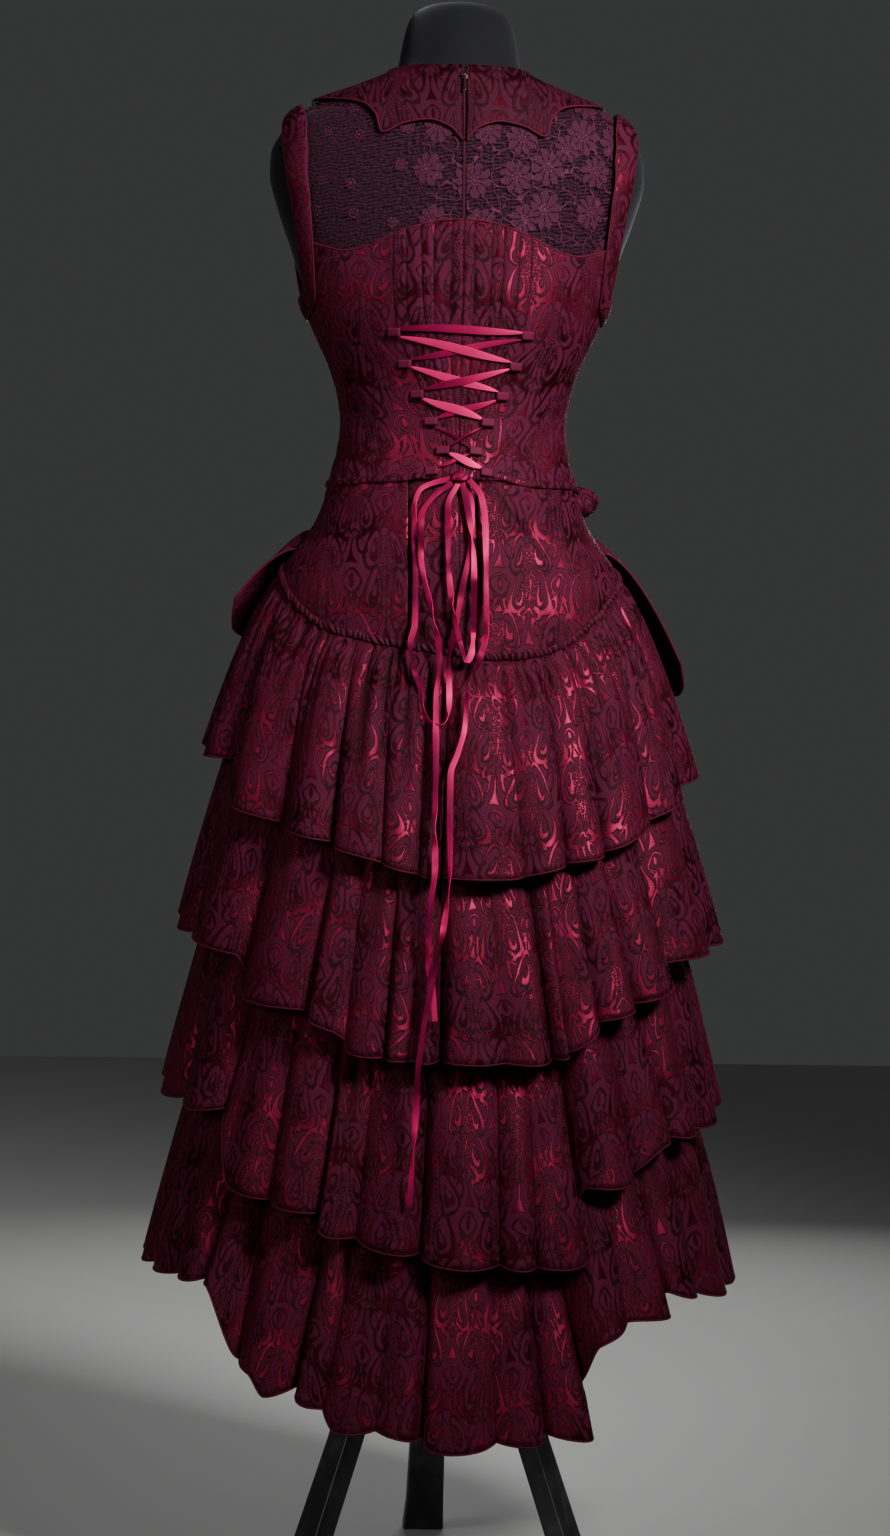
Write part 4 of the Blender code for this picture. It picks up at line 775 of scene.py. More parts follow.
class Shader:
    """The node tree of one material, with the one method that adds a node to it."""

    def __init__(self, name: str) -> None:
        """Starts an empty tree with its output."""
        self.material = bpy.data.materials.new(name)
        self.material.use_nodes = True
        self.tree = self.material.node_tree
        self.tree.nodes.clear()
        self.output = self.node("ShaderNodeOutputMaterial")

    def node(self, kind: str, settings: Optional[dict] = None, inputs: Optional[dict] = None) -> bpy.types.Node:
        """Adds a node.

        Args:
            kind: The node's type.
            settings: Its settings; "stops" holds a ramp's places and colours.
            inputs: Numbers, colours, values or sockets for its sockets, by name or place.

        Returns:
            The node.
        """
        made = self.tree.nodes.new(kind)
        for key, value in (settings or {}).items():
            if key == "stops":
                for i, (place, colour) in enumerate(value):
                    stops = made.color_ramp.elements
                    stop = stops[i] if i < len(stops) else stops.new(place)
                    stop.position = place
                    stop.color = (*colour, 1.0)
            else:
                setattr(made, key, value)
        for key, value in (inputs or {}).items():
            socket = made.inputs[key]
            source = value.socket if isinstance(value, Value) else value
            if isinstance(source, bpy.types.NodeSocket):
                self.tree.links.new(source, socket)
            else:
                socket.default_value = source
        return made

    def value(self, node: bpy.types.Node, output: Union[str, int] = 0) -> Value:
        """One number output of a node."""
        return Value(self, node.outputs[output])

    def parts(self, vector: bpy.types.NodeSocket) -> tuple:
        """The three numbers of a vector or colour, as values."""
        node = self.node("ShaderNodeSeparateXYZ", None, {0: vector})
        return tuple(self.value(node, i) for i in range(3))

    def vector(self, operation: str, inputs: dict) -> bpy.types.NodeSocket:
        """The result of a Vector Math node."""
        return self.node("ShaderNodeVectorMath", {"operation": operation}, inputs).outputs[0]

    def cloth_axes(self) -> tuple:
        """The cloth's own u and v in metres, as values, and the vector socket."""
        uv = self.node("ShaderNodeUVMap", {"uv_map": "cloth"}).outputs[0]
        u, v, _ = self.parts(uv)
        return u, v, uv

    def object_axes(self) -> bpy.types.NodeSocket:
        """The piece's own coordinates."""
        return self.node("ShaderNodeTexCoord").outputs["Object"]

    def attribute(self, name: str) -> Value:
        """A number that the piece's mesh keeps at each vertex, 0 where it has none."""
        return self.value(self.node("ShaderNodeAttribute", {"attribute_name": name}), "Fac")

    def noise(self, vector: bpy.types.NodeSocket, scale: float, detail: float = 2.0, rough: float = 0.5,
              stretch: Optional[tuple] = None) -> Value:
        """Smooth noise from 0 to 1.

        Args:
            vector: Where it is read.
            scale: Waves per metre.
            detail: Octaves.
            rough: Weight of the finer ones.
            stretch: A factor for each axis, or None.

        Returns:
            The noise.
        """
        if stretch:
            vector = self.vector("MULTIPLY", {0: vector, 1: stretch})
        return self.value(self.node("ShaderNodeTexNoise", None, {
            "Vector": vector, "Scale": scale, "Detail": detail, "Roughness": rough}))

    def flow(self, vector: bpy.types.NodeSocket, scale: float, detail: float) -> bpy.types.NodeSocket:
        """Three smooth noises from 0 to 1 as one colour, by which a pattern is bent."""
        return self.node("ShaderNodeTexNoise", {"noise_dimensions": "2D"}, {
            "Vector": vector, "Scale": scale, "Detail": detail}).outputs["Color"]

    def cell_edges(self, vector: bpy.types.NodeSocket, scale: float, uneven_by: float) -> Value:
        """Distance from the nearest edge in a pattern of cells."""
        return self.value(self.node(
            "ShaderNodeTexVoronoi", {"feature": "DISTANCE_TO_EDGE", "voronoi_dimensions": "2D"},
            {"Vector": vector, "Scale": scale, "Randomness": uneven_by}))

    def mix(self, share: Term, a: Union[tuple, bpy.types.NodeSocket],
            b: Union[tuple, bpy.types.NodeSocket]) -> bpy.types.NodeSocket:
        """A colour a share of the way from a to b."""
        a = (*a, 1.0) if isinstance(a, tuple) else a
        b = (*b, 1.0) if isinstance(b, tuple) else b
        node = self.node("ShaderNodeMix", {"data_type": "RGBA"}, {0: share, 6: a, 7: b})
        return node.outputs[2]

    def bump(self, height: Value, distance: float, strength: float = 1.0) -> bpy.types.NodeSocket:
        """A normal from a height."""
        node = self.node("ShaderNodeBump", None, {"Height": height, "Distance": distance, "Strength": strength})
        return node.outputs[0]

    def surface(self, inputs: dict) -> bpy.types.Node:
        """The shader itself, joined to the output."""
        shader = self.node("ShaderNodeBsdfPrincipled", None, inputs)
        self.tree.links.new(shader.outputs[0], self.output.inputs[0])
        return shader


# Finishes


@dataclass(frozen=True)
class Leaf:
    """Outline of a leaf of the damask in millimetres, whose stroke swells to one side and one end."""

    x: float
    y: float
    wide: float
    tall: float
    turn: float
    line: float
    side: float
    end: float
    point: float = 0.35

    def stroke(self, x: Value, y: Value) -> Value:
        """Distance into the stroke, above 0 inside it, at a place of the repeat.

        Args:
            x: Place across the half repeat, in millimetres.
            y: Place along the repeat, in millimetres.

        Returns:
            The distance in millimetres.
        """
        c, s = math.cos(math.radians(self.turn)), math.sin(math.radians(self.turn))
        px, py = x - self.x, y - self.y
        along = (py * c - px * s) * (1.0 / self.tall)
        across = (px * c + py * s) * (1.0 / self.wide)
        across = across * (1.0 + self.point * along)
        away = (along * along + across * across).math("SQRT")
        swell = (1.0 + (self.side * across + self.end * along) / away.high(0.3)).high(0.0)
        return self.line * (swell * swell) - abs(away - 1.0) * self.wide


@dataclass(frozen=True)
class Bud:
    """Outline of a four-lobed bud or flower of the damask in millimetres, whose stroke swells to one end."""

    x: float
    y: float
    radius: float
    line: float
    lobes: float
    end: float

    def stroke(self, x: Value, y: Value) -> Value:
        """Distance into the stroke, above 0 inside it, at a place of the repeat.

        Args:
            x: Place across the half repeat, in millimetres.
            y: Place along the repeat, in millimetres.

        Returns:
            The distance in millimetres.
        """
        px, py = self.x - x, y - self.y
        square = px * px + py * py + 0.01
        cross = px * py / square
        edge = self.radius * (1.0 + self.lobes - 8.0 * self.lobes * (cross * cross))
        return self.line * (1.0 + self.end * py / self.radius) - abs(square.math("SQRT") - edge)


@dataclass(frozen=True)
class Damask:
    """Two-tone jacquard: matte leaves and buds, set off by strokes and arrows of satin ground."""

    name: str = "wine_damask"
    matte: tuple = (0.088, 0.0056, 0.0275)
    matte_dark: tuple = (0.048, 0.0027, 0.0138)
    outline: tuple = (0.0038, 0.0002, 0.0010)
    # Satin colours: the first where the painted highlight falls, the second its painted shade
    satin: tuple = (0.215, 0.0125, 0.0420)
    satin_painted_shade: tuple = (0.022, 0.0010, 0.0036)
    half_repeat: float = 36.0
    drop: float = 76.0
    gaps: float = 0.41
    broken: float = 2.0
    # Noise level from which the satin's painted highlight starts
    painted_highlight_from: float = 0.44
    flow: float = 0.017
    motifs: tuple = (
        Leaf(13.8, 55.0, 9.0, 20.0, 9.0, 0.32, 0.9, -0.75), Leaf(12.6, 54.0, 3.2, 9.5, 12.0, 0.26, -0.7, -0.7),
        Leaf(23.5, 17.0, 7.8, 20.0, -17.0, 0.28, -0.9, 0.7), Leaf(12.5, 93.0, 7.8, 20.0, 17.0, 0.28, 0.9, 0.7),
        Leaf(24.0, 15.0, 2.8, 8.0, -17.0, 0.24, 0.8, -0.8), Leaf(10.5, 21.0, 4.0, 9.0, 24.0, 0.24, -0.6, 1.0),
        Leaf(27.5, 43.0, 3.4, 9.0, -28.0, 0.26, 0.7, 0.9),
        Leaf(9.0, 36.0, 3.4, 6.0, 30.0, 0.30, 0.9, -0.8, 0.1),
        Bud(0.0, 33.0, 5.8, 0.32, 0.20, 0.9), Bud(36.0, 64.0, 8.6, 0.42, 0.06, 0.9),
    )

    def satin_depth(self, u: Value, v: Value, spots: Value) -> Value:
        """Distance into the satin ground in millimetres, above 0 inside it.

        Args:
            u: Metres across the cloth.
            v: Metres along it.
            spots: The distance into the small specks.

        Returns:
            The distance.
        """
        half, drop = self.half_repeat, self.drop
        x0 = (u * 1000.0).math("PINGPONG", half)
        y0 = v * 1000.0
        row = (y0 / drop).math("FLOOR")
        odd = row.math("PINGPONG", 1.0)
        x = x0 + odd * (half - 2.0 * x0)
        y = y0 - row * drop
        beside = half - x

        def round_patch(px: Value, middle: float, wide: float, tall: float) -> Value:
            """Above 0 inside an oval, 1 at its middle."""
            return 1.0 - (px * px * wide + (y - middle) * (y - middle) * tall)

        foot = y - 4.2 + 0.28 * x * (1.0 - 0.06 * x)
        arrow = (6.0 * (1.0 - (y - 3.0) / 19.0).high(0.0) ** 1.8 - x).low(foot)
        thread = (0.35 - x).low(y - 14.0, 27.0 - y)
        tip = (4.0 * ((48.0 - y) / 12.0).high(0.0) ** 1.6 + 0.2 - beside).low(y - 36.5, 48.0 - y)
        vee = (0.36 - abs(beside - 0.50 * (y - 44.0))).low(y - 46.0, 58.0 - y)
        vee_in = (0.28 - abs(beside - 0.22 * (y - 44.0))).low(y - 46.0, 55.0 - y)
        stem = (0.05 + 0.045 * (y - 46.0) - x).low(y - 48.0, 68.0 - y)
        field = round_patch(beside, 13.0, 0.010, 0.006).high(round_patch(x - 4.0, 62.0, 0.020, 0.006))
        return arrow.high(
            thread, stem, tip, vee, vee_in, spots.low(field * 2.0), round_patch(beside, 65.0, 0.30, 0.05),
            *(motif.stroke(x, y) for motif in self.motifs))

    def build(self) -> bpy.types.Material:
        """Builds the material from its nodes.

        Returns:
            The material.
        """
        g = Shader(self.name)
        u, v, vector = g.cloth_axes()
        thread = g.noise(vector, 1500.0, 1.0, 0.5, (1.0, 0.45, 1.0))
        patchy = g.noise(vector, 110.0, 2.0, 0.6)
        spots = (g.noise(vector, 620.0, 1.0) - 0.60) * 9.0
        aside, down, _ = g.parts(g.flow(vector, 17.0, 1.0))
        depth = self.satin_depth(u + (aside - 0.5) * self.flow, v + (down - 0.5) * self.flow, spots)
        # Painted highlight: noise patches where the satin is drawn bright and a little wider
        lit = g.noise(vector, 15.0, 2.0, 0.5, (1.0, 0.6, 1.0)).ramp(self.painted_highlight_from, self.painted_highlight_from + 0.16)
        inner = depth + (thread - 0.5) * 1.1 - (patchy - self.gaps) * self.broken + lit * 0.35
        ground = inner.edge(0.75)
        echo = (0.08 - abs(depth + 2.3 + (patchy - 0.5) * 3.0)).edge(0.35) * (1.05 - patchy * 1.1)
        line = ((inner + 0.80).edge(0.8) * (1.25 - patchy * 0.7)).low(1.0).high(echo)
        worn = g.noise(vector, 9.0, 2.0, 0.55)
        tone = (worn * 0.8 + thread * 0.6 - 0.2).clip()
        matte = g.mix(line, g.mix(tone, self.matte_dark, self.matte), self.outline)
        crumple = g.noise(vector, 24.0, 3.0, 0.55, (1.0, 0.45, 1.0))
        lit = (lit * 0.80 + (thread - 0.3) * 0.5).clip()
        height = (thread * (1.0 - 0.6 * ground) + ground * 0.7) * 0.00022 + crumple * 0.0045
        # The satin's colour runs from its painted shade to its painted highlight
        colour = g.mix(ground, matte, g.mix(lit, self.satin_painted_shade, self.satin))
        # Painted shade: the mesh's crease value darkens the colour towards the outline colour
        g.surface({
            "Base Color": g.mix(g.attribute("crease"), colour, self.outline),
            "Roughness": 0.76 - (0.16 + 0.16 * thread) * ground,
            "Metallic": 0.94 * ground,
            "Specular IOR Level": 0.09,
            "Normal": g.bump(height, 1.0, 0.8),
        })
        return g.material


@dataclass(frozen=True)
class PlainWine:
    """Plain weave of one tone, for loops, rolled hems, the ruched heading and the zip's tape."""

    name: str
    light: tuple
    dark: tuple
    sheen: float = 0.0
    # Colour of the painted shade, mixed in where the mesh's crease value is high
    painted_crease_shade: tuple = (0.0030, 0.0002, 0.0008)

    def build(self) -> bpy.types.Material:
        """Builds the material from its nodes.

        Returns:
            The material.
        """
        g = Shader(self.name)
        _, _, vector = g.cloth_axes()
        thread = g.noise(vector, 1300.0, 1.0, 0.5, (1.0, 0.4, 1.0))
        patch = g.noise(vector, 60.0, 2.0)
        tone = (patch * 0.9 + thread * 0.7 - 0.3).clip()
        g.surface({
            "Base Color": g.mix(g.attribute("crease"), g.mix(tone, self.dark, self.light), self.painted_crease_shade),
            "Roughness": 0.66 - 0.1 * tone,
            "Specular IOR Level": 0.08,
            "Sheen Weight": self.sheen,
            "Sheen Tint": (0.8, 0.2, 0.35, 1.0),
            "Normal": g.bump(thread, 0.0002, 0.8),
        })
        return g.material


@dataclass(frozen=True)
class FloralLace:
    """Dense net with uneven many-petalled flowers and stems of solid thread, through which the form shows."""

    name: str = "floral_lace"
    thread: tuple = (0.040, 0.0058, 0.0175)
    petal: tuple = (0.072, 0.0090, 0.0315)
    flowers: float = 25.0
    petals: float = 9.0
    reach: float = 17.0
    mesh: float = 640.0

    def build(self) -> bpy.types.Material:
        """Builds the material from its nodes.

        Returns:
            The material.
        """
        g = Shader(self.name)
        u, v, vector = g.cloth_axes()
        shake = g.noise(vector, 130.0, 1.0)
        shift = g.vector("SCALE", {0: g.flow(vector, 55.0, 2.0), "Scale": 0.016})
        bent = g.vector("ADD", {0: vector, 1: shift})
        cell = g.node("ShaderNodeTexVoronoi", {"feature": "F1", "voronoi_dimensions": "2D"},
                      {"Vector": vector, "Scale": self.flowers, "Randomness": 0.62})
        px, py, _ = g.parts(g.vector("SUBTRACT", {0: vector, 1: cell.outputs["Position"]}))
        px, py = px * 1000.0, py * 1000.0
        tint, _, _ = g.parts(cell.outputs["Color"])
        away = (px * px + py * py + 0.01).math("SQRT") * (0.90 + 0.35 * tint) + (shake - 0.5) * 4.0
        angle = py.math("ARCTAN2", px) + tint * 6.0
        wave = abs((angle * (self.petals / 2) + shake * 2.4).math("COSINE"))
        fade = ((-0.028 - u) * 300.0).high(0.0)
        inside = self.reach * (0.62 + 0.38 * wave ** 0.7) - away - fade
        slit = (0.30 - wave).low(away - 4.0, inside + 2.0)
        rim = (0.55 - abs(inside)).low(1.0)
        heart = (1.0 - abs(away - 4.2)).low((angle * 7.0).math("COSINE") + 0.3).high(1.4 - away)
        ribs = ((angle * 42.0).math("COSINE") - 0.2).low(inside - 0.8, away - 6.0)
        border = g.cell_edges(bent, self.flowers * 2.3, 1.0)
        stem = (0.030 - border + (shake - 0.5) * 0.05 - fade * 0.004) * 18.0
        holes = g.cell_edges(vector, self.mesh, 0.75)
        waves = (v * 1750.0 + shake * 9.0 + (u * 260.0 + shake * 4.0).math("SINE") * 1.6).math("SINE")
        marks = g.noise(vector, 260.0, 2.0, 0.7)
        net = (0.10 - holes + 0.075 * waves + (marks - 0.5) * 0.7).edge(0.16)
        fill = inside.edge(1.2) * (1.0 - slit.edge(0.3))
        lines = rim.edge(0.5).high(heart.edge(0.6), stem.edge(0.5))
        solid = lines.high(fill * (0.55 + 0.45 * ribs.edge(0.8)))
        cover = (net * (0.92 - 0.30 * (inside + 3.0).edge(2.0) * (1.0 - fill))).high(solid)
        tone = (lines * 0.9).high(fill * 0.50, heart.edge(0.6), waves.edge(1.2) * 0.34)
        g.surface({
            "Base Color": g.mix(tone, self.thread, self.petal),
            "Roughness": 0.80 - 0.14 * tone,
            "Specular IOR Level": 0.15,
            "Alpha": cover.clip(),
            "Normal": g.bump(cover + lines * 0.8, 0.0004, 0.9),
        })
        return g.material


@dataclass(frozen=True)
class SatinRibbon:
    """Bright satin ribbon with fine ribs along it, whose painted highlight and shade follow its lit value."""

    name: str = "raspberry_satin"
    # Colours of the painted highlight and of the painted shade
    light: tuple = (0.74, 0.0140, 0.1450)
    dark: tuple = (0.080, 0.0004, 0.0180)
    rough: float = 0.50

    def build(self) -> bpy.types.Material:
        """Builds the material from its nodes.

        Returns:
            The material.
        """
        g = Shader(self.name)
        _, _, vector = g.cloth_axes()
        rib = g.noise(vector, 1.0, 1.0, 0.5, (2600.0, 60.0, 1.0))
        shade = g.noise(vector, 30.0, 2.0)
        # Painted highlight and shade: the mesh's lit value, varied by noise and ribs
        lit = g.attribute("lit") + (shade - 0.5) * 0.35 + (rib - 0.5) * 0.12
        tone = lit.clip() ** 1.4
        g.surface({
            "Base Color": g.mix(tone, self.dark, self.light),
            "Roughness": self.rough + 0.10 * rib,
            "Metallic": 0.40,
            "Specular IOR Level": 0.06,
            "Normal": g.bump(rib, 0.0001, 0.6),
        })
        return g.material


@dataclass(frozen=True)
class Velvet:
    """Black velvet of the dress form."""

    name: str = "black_velvet"

    def build(self) -> bpy.types.Material:
        """Builds the material from its nodes.

        Returns:
            The material.
        """
        g = Shader(self.name)
        at = g.object_axes()
        nap = g.noise(at, 25.0, 3.0, 0.6)
        pile = g.noise(at, 900.0, 1.0)
        g.surface({
            "Base Color": g.mix(nap, (0.0035, 0.0035, 0.0042), (0.0085, 0.0085, 0.0100)),
            "Roughness": 0.92 - 0.08 * pile,
            "Specular IOR Level": 0.12,
            "Sheen Weight": 0.22,
            "Sheen Roughness": 0.45,
            "Sheen Tint": (0.55, 0.55, 0.62, 1.0),
            "Normal": g.bump(pile, 0.0003, 0.7),
        })
        return g.material


@dataclass(frozen=True)
class Coated:
    """Smooth coat over metal or moulded parts, with a little wear."""

    name: str
    colour: tuple
    worn: tuple
    rough: float
    metallic: float

    def build(self) -> bpy.types.Material:
        """Builds the material from its nodes.

        Returns:
            The material.
        """
        g = Shader(self.name)
        at = g.object_axes()
        patch = g.noise(at, 40.0, 4.0, 0.6)
        fine = g.noise(at, 1800.0, 2.0, 0.6)
        wear = (patch + fine * 0.3).ramp(0.62, 0.95)
        g.surface({
            "Base Color": g.mix(wear, self.colour, self.worn),
            "Roughness": self.rough + 0.12 * patch,
            "Metallic": self.metallic,
            "Normal": g.bump(fine, 0.00005, 0.5),
        })
        return g.material


@dataclass(frozen=True)
class StudioFloor:
    """Plain pale floor."""

    name: str = "pale_floor"

    def build(self) -> bpy.types.Material:
        """Builds the material from its nodes.

        Returns:
            The material.
        """
        g = Shader(self.name)
        at = g.object_axes()
        cloud = g.noise(at, 1.3, 3.0)
        g.surface({
            "Base Color": g.mix(cloud, (0.48, 0.475, 0.47), (0.53, 0.525, 0.52)),
            "Roughness": 0.75,
            "Specular IOR Level": 0.2,
        })
        return g.material


# The studio


@dataclass(frozen=True)
class Lamp:
    """A soft square light: its place, where it points, its side, its watts and its beam's angle in degrees."""

    name: str
    place: tuple
    aim: tuple
    size: float
    power: float
    spread: float


@dataclass
class Studio:
    """The camera at the photograph's angle, soft lights, a dim world and a plain pale floor."""

    distance: float = 3.5
    height: float = 0.796
    azimuth: float = -4.0
    roll: float = 1.0
    aside: float = -0.002
    frame_height: float = 1.536
    sensor: float = 36.0
    floor_size: float = 12.0
    sky: tuple = (0.92, 0.93, 0.95, 1.0)
    sky_strength: float = 0.046
    lamps: tuple = (
        Lamp("key", (1.25, -1.95, 2.40), (0.02, 0.0, 1.20), 0.70, 15.0, 56.0),
        Lamp("fill", (-2.4, -2.2, 1.7), (0.0, 0.0, 1.1), 1.3, 8.8, 96.0),
        Lamp("front", (0.5, 2.9, 1.2), (0.0, 0.0, 0.95), 1.6, 13.0, 120.0),
    )

    def camera(self) -> None:
        """Adds the camera, which looks level at the gown's axis."""
        data = bpy.data.cameras.new("camera")
        data.sensor_fit = "VERTICAL"
        data.sensor_height = self.sensor
        data.lens = self.sensor * self.distance / self.frame_height
        camera = bpy.data.objects.new("camera", data)
        turn = math.radians(self.azimuth)
        right = Vector((math.cos(turn), math.sin(turn), 0.0))
        back = Vector((math.sin(turn), -math.cos(turn), 0.0))
        camera.location = back * self.distance + Vector((0.0, 0.0, self.height)) + right * self.aside
        facing = Matrix.Rotation(turn, 3, "Z") @ Matrix.Rotation(math.radians(90), 3, "X")
        camera.rotation_euler = (facing @ Matrix.Rotation(math.radians(self.roll), 3, "Z")).to_euler()
        bpy.context.scene.collection.objects.link(camera)
        bpy.context.scene.camera = camera

    def light(self, lamp: Lamp) -> None:
        """Adds a light, which the camera doesn't see.

        Args:
            lamp: Its place, aim, size, power and beam's spread.
        """
        data = bpy.data.lights.new(lamp.name, "AREA")
        data.spread = math.radians(lamp.spread)
        data.shape = "SQUARE"
        data.size = lamp.size
        data.energy = lamp.power
        piece = bpy.data.objects.new(lamp.name, data)
        piece.location = lamp.place
        piece.visible_camera = False
        piece.rotation_euler = (Vector(lamp.aim) - Vector(lamp.place)).to_track_quat("-Z", "Y").to_euler()
        bpy.context.scene.collection.objects.link(piece)

    def build(self) -> None:
        """Adds the world, the lights and the floor."""
        world = bpy.data.worlds.new("studio")
        world.use_nodes = True
        sky = world.node_tree.nodes["Background"]
        sky.inputs[0].default_value = self.sky
        sky.inputs[1].default_value = self.sky_strength
        bpy.context.scene.world = world
        for lamp in self.lamps:
            self.light(lamp)
        shape = bmesh.new()
        bmesh.ops.create_grid(shape, x_segments=8, y_segments=8, size=self.floor_size / 2)
        floor = bpy.data.objects.new("floor", mesh_of("floor", shape))
        floor.data.materials.append(StudioFloor().build())
        bpy.context.scene.collection.objects.link(floor)


# Ribbon: the lacing and the bow


def ribbon_piece(name: str, path: Array, out: Array, lit: Array, width: Array,
                 finish: bpy.types.Material) -> bpy.types.Object:
    """A flat ribbon along a path as its own piece.

    Args:
        name: Its name after "satin_", which its CAD node has after "ribbon_".
        path: The points down its middle.
        out: The direction that its face looks in, at each point.
        lit: Its painted highlight and shade at each point.
        width: Its width at each point.
        finish: Its material.

    Returns:
        The piece.
    """
    rings = sweep(path, out, width / 2, RIBBON * 0.42, FLAT)
    mesh = tube_mesh(f"satin_{name}", rings, mark="lit", values=lit[:, None])
    mesh.set_sharp_from_angle(angle=RIBBON_SHARP)
    return dress(mesh, finish, Slot.RIBBON, f"ribbon_{name}")


@dataclass
class RibbonBow:
    """The knot at the waist, the two hanging loops and the two free ends.

    Each route has its name, its places seen from behind, what its far end is, and its twists: the share of
    its length and the degrees of each.
    """

    finish: bpy.types.Material
    step: float = 0.0035
    twist: float = 0.026
    width: float = 0.0058
    knot_sides: int = 48
    routes: tuple = (
        ("bow_long", BOW_LONG, "object", (
            (0.10, 40), (0.19, -62), (0.30, 25), (0.39, -72), (0.47, 35), (0.54, 68), (0.66, -40), (0.75, 62),
            (0.88, -35))),
        ("bow_short", BOW_SHORT, "object", (
            (0.12, 45), (0.24, -25), (0.35, 66), (0.47, -50), (0.56, 70), (0.70, -40), (0.84, 55))),
        ("tail_short", TAIL_SHORT, "bare", (
            (0.06, 45), (0.13, -60), (0.21, 30), (0.28, 70), (0.37, -35), (0.50, 20), (0.66, 58), (0.74, -30),
            (0.88, 62))),
        ("tail_long", TAIL_LONG, "bare", (
            (0.05, 35), (0.13, -30), (0.22, 66), (0.29, -72), (0.38, 40), (0.47, -30), (0.58, 60), (0.66, -66),
            (0.76, 30), (0.84, -45), (0.93, 60))),
    )

    def route(self, route: Sequence[tuple], layer: int) -> tuple:
        """Points and outward directions of a hanging ribbon, evenly spaced.

        Args:
            route: Its places seen from behind.
            layer: How many ribbons lie under it.

        Returns:
            The points, the directions and each point's share of the length.
        """
        spots = np.concatenate([[0.0], np.cumsum(np.hypot(*np.diff(np.array(route), axis=0).T))])
        share = shares(max(16, round(spots[-1] / self.step)))
        x = Curve(list(zip(spots, [p[0] for p in route])))(spots[-1] * share)
        z = Curve(list(zip(spots, [p[1] for p in route])))(spots[-1] * share)
        depth = Curve(RIBBON_DEPTH)(z) + RIBBON_LAYER * layer
        angle = np.arcsin(x / RIBBON_SWEEP)
        out = np.stack([np.sin(angle), -np.cos(angle), np.zeros_like(angle)], axis=-1)
        return np.stack([x, -depth * np.cos(angle), z], axis=-1) + out * RIBBON / 2, out, share

    def strands(self) -> None:
        for layer, (name, route, end, twists) in enumerate(self.routes):
            path, out, share = self.route(route, layer)
            turn = sum(math.radians(a) * bell(share - at, self.twist) for at, a in twists)
            turn = turn + 0.55 * np.sin(share * 15 + layer * 2.0) * np.sin(np.pi * share)
            path = path + out * (np.abs(np.sin(turn)) * RIBBON_WIDTH * 0.36)[:, None]
            aside = np.cross(unit(np.gradient(path, axis=0)), out)
            twisted = out * np.cos(turn)[:, None] + aside * np.sin(turn)[:, None]
            # Painted highlight and shade: lighter where the twist turns the face one way, darker the other,
            # waves along it
            lit = 0.30 + 0.05 * layer + 0.70 * np.sin(turn) + 0.28 * np.sin(share * 23 + layer * 2.0)
            width = self.width - 0.0007 * np.sin(share * 31 + layer)
            piece = ribbon_piece(name, path, twisted, np.clip(lit, 0.08, 1.0), width, self.finish)

    def knot(self) -> None:
        """Builds the knot: a firm bundle of flat turns of ribbon."""
        lift = ON_BODICE_LIFT + SHIRR_DEPTH * 0.45 + 0.0003
        z = np.linspace(KNOT[-1][0], KNOT[0][0], 13)[:, None]
        near = SURFACE.point(0, z, lift)[..., 1]
        turn = np.linspace(0, math.tau, self.knot_sides, endpoint=False)
        fold = np.abs(np.sin(1.5 * turn + (z - z[0]) * 330)) ** 0.6
        crease = 0.80 + 0.20 * fold
        rings = np.stack([
            Curve(KNOT, 1)(z) * np.cos(turn) * crease,
            near - Curve(KNOT, 2)(z) * (0.5 + 0.5 * np.sin(turn) * crease),
            z + 0.0 * turn,
        ], axis=-1)
        # Painted highlight on the ridges of the turns, painted shade in their folds
        lit = 0.05 + 0.75 * fold**2 * (0.6 + 0.4 * np.cos(2.0 * turn))
        mesh = tube_mesh("satin_knot", rings, mark="lit", values=lit)
        dress(mesh, self.finish, Slot.RIBBON, "ribbon_knot")

    def build(self) -> None:
        """Builds the bow."""
        self.strands()
        self.knot()


@dataclass(frozen=True)
class Span:
    """A length of the lacing between two loops: its greatest width, its painted brightness and its twist."""

    wide: float
    lit: tuple
    twist: float
    ends: tuple = (0.16, 0.16)


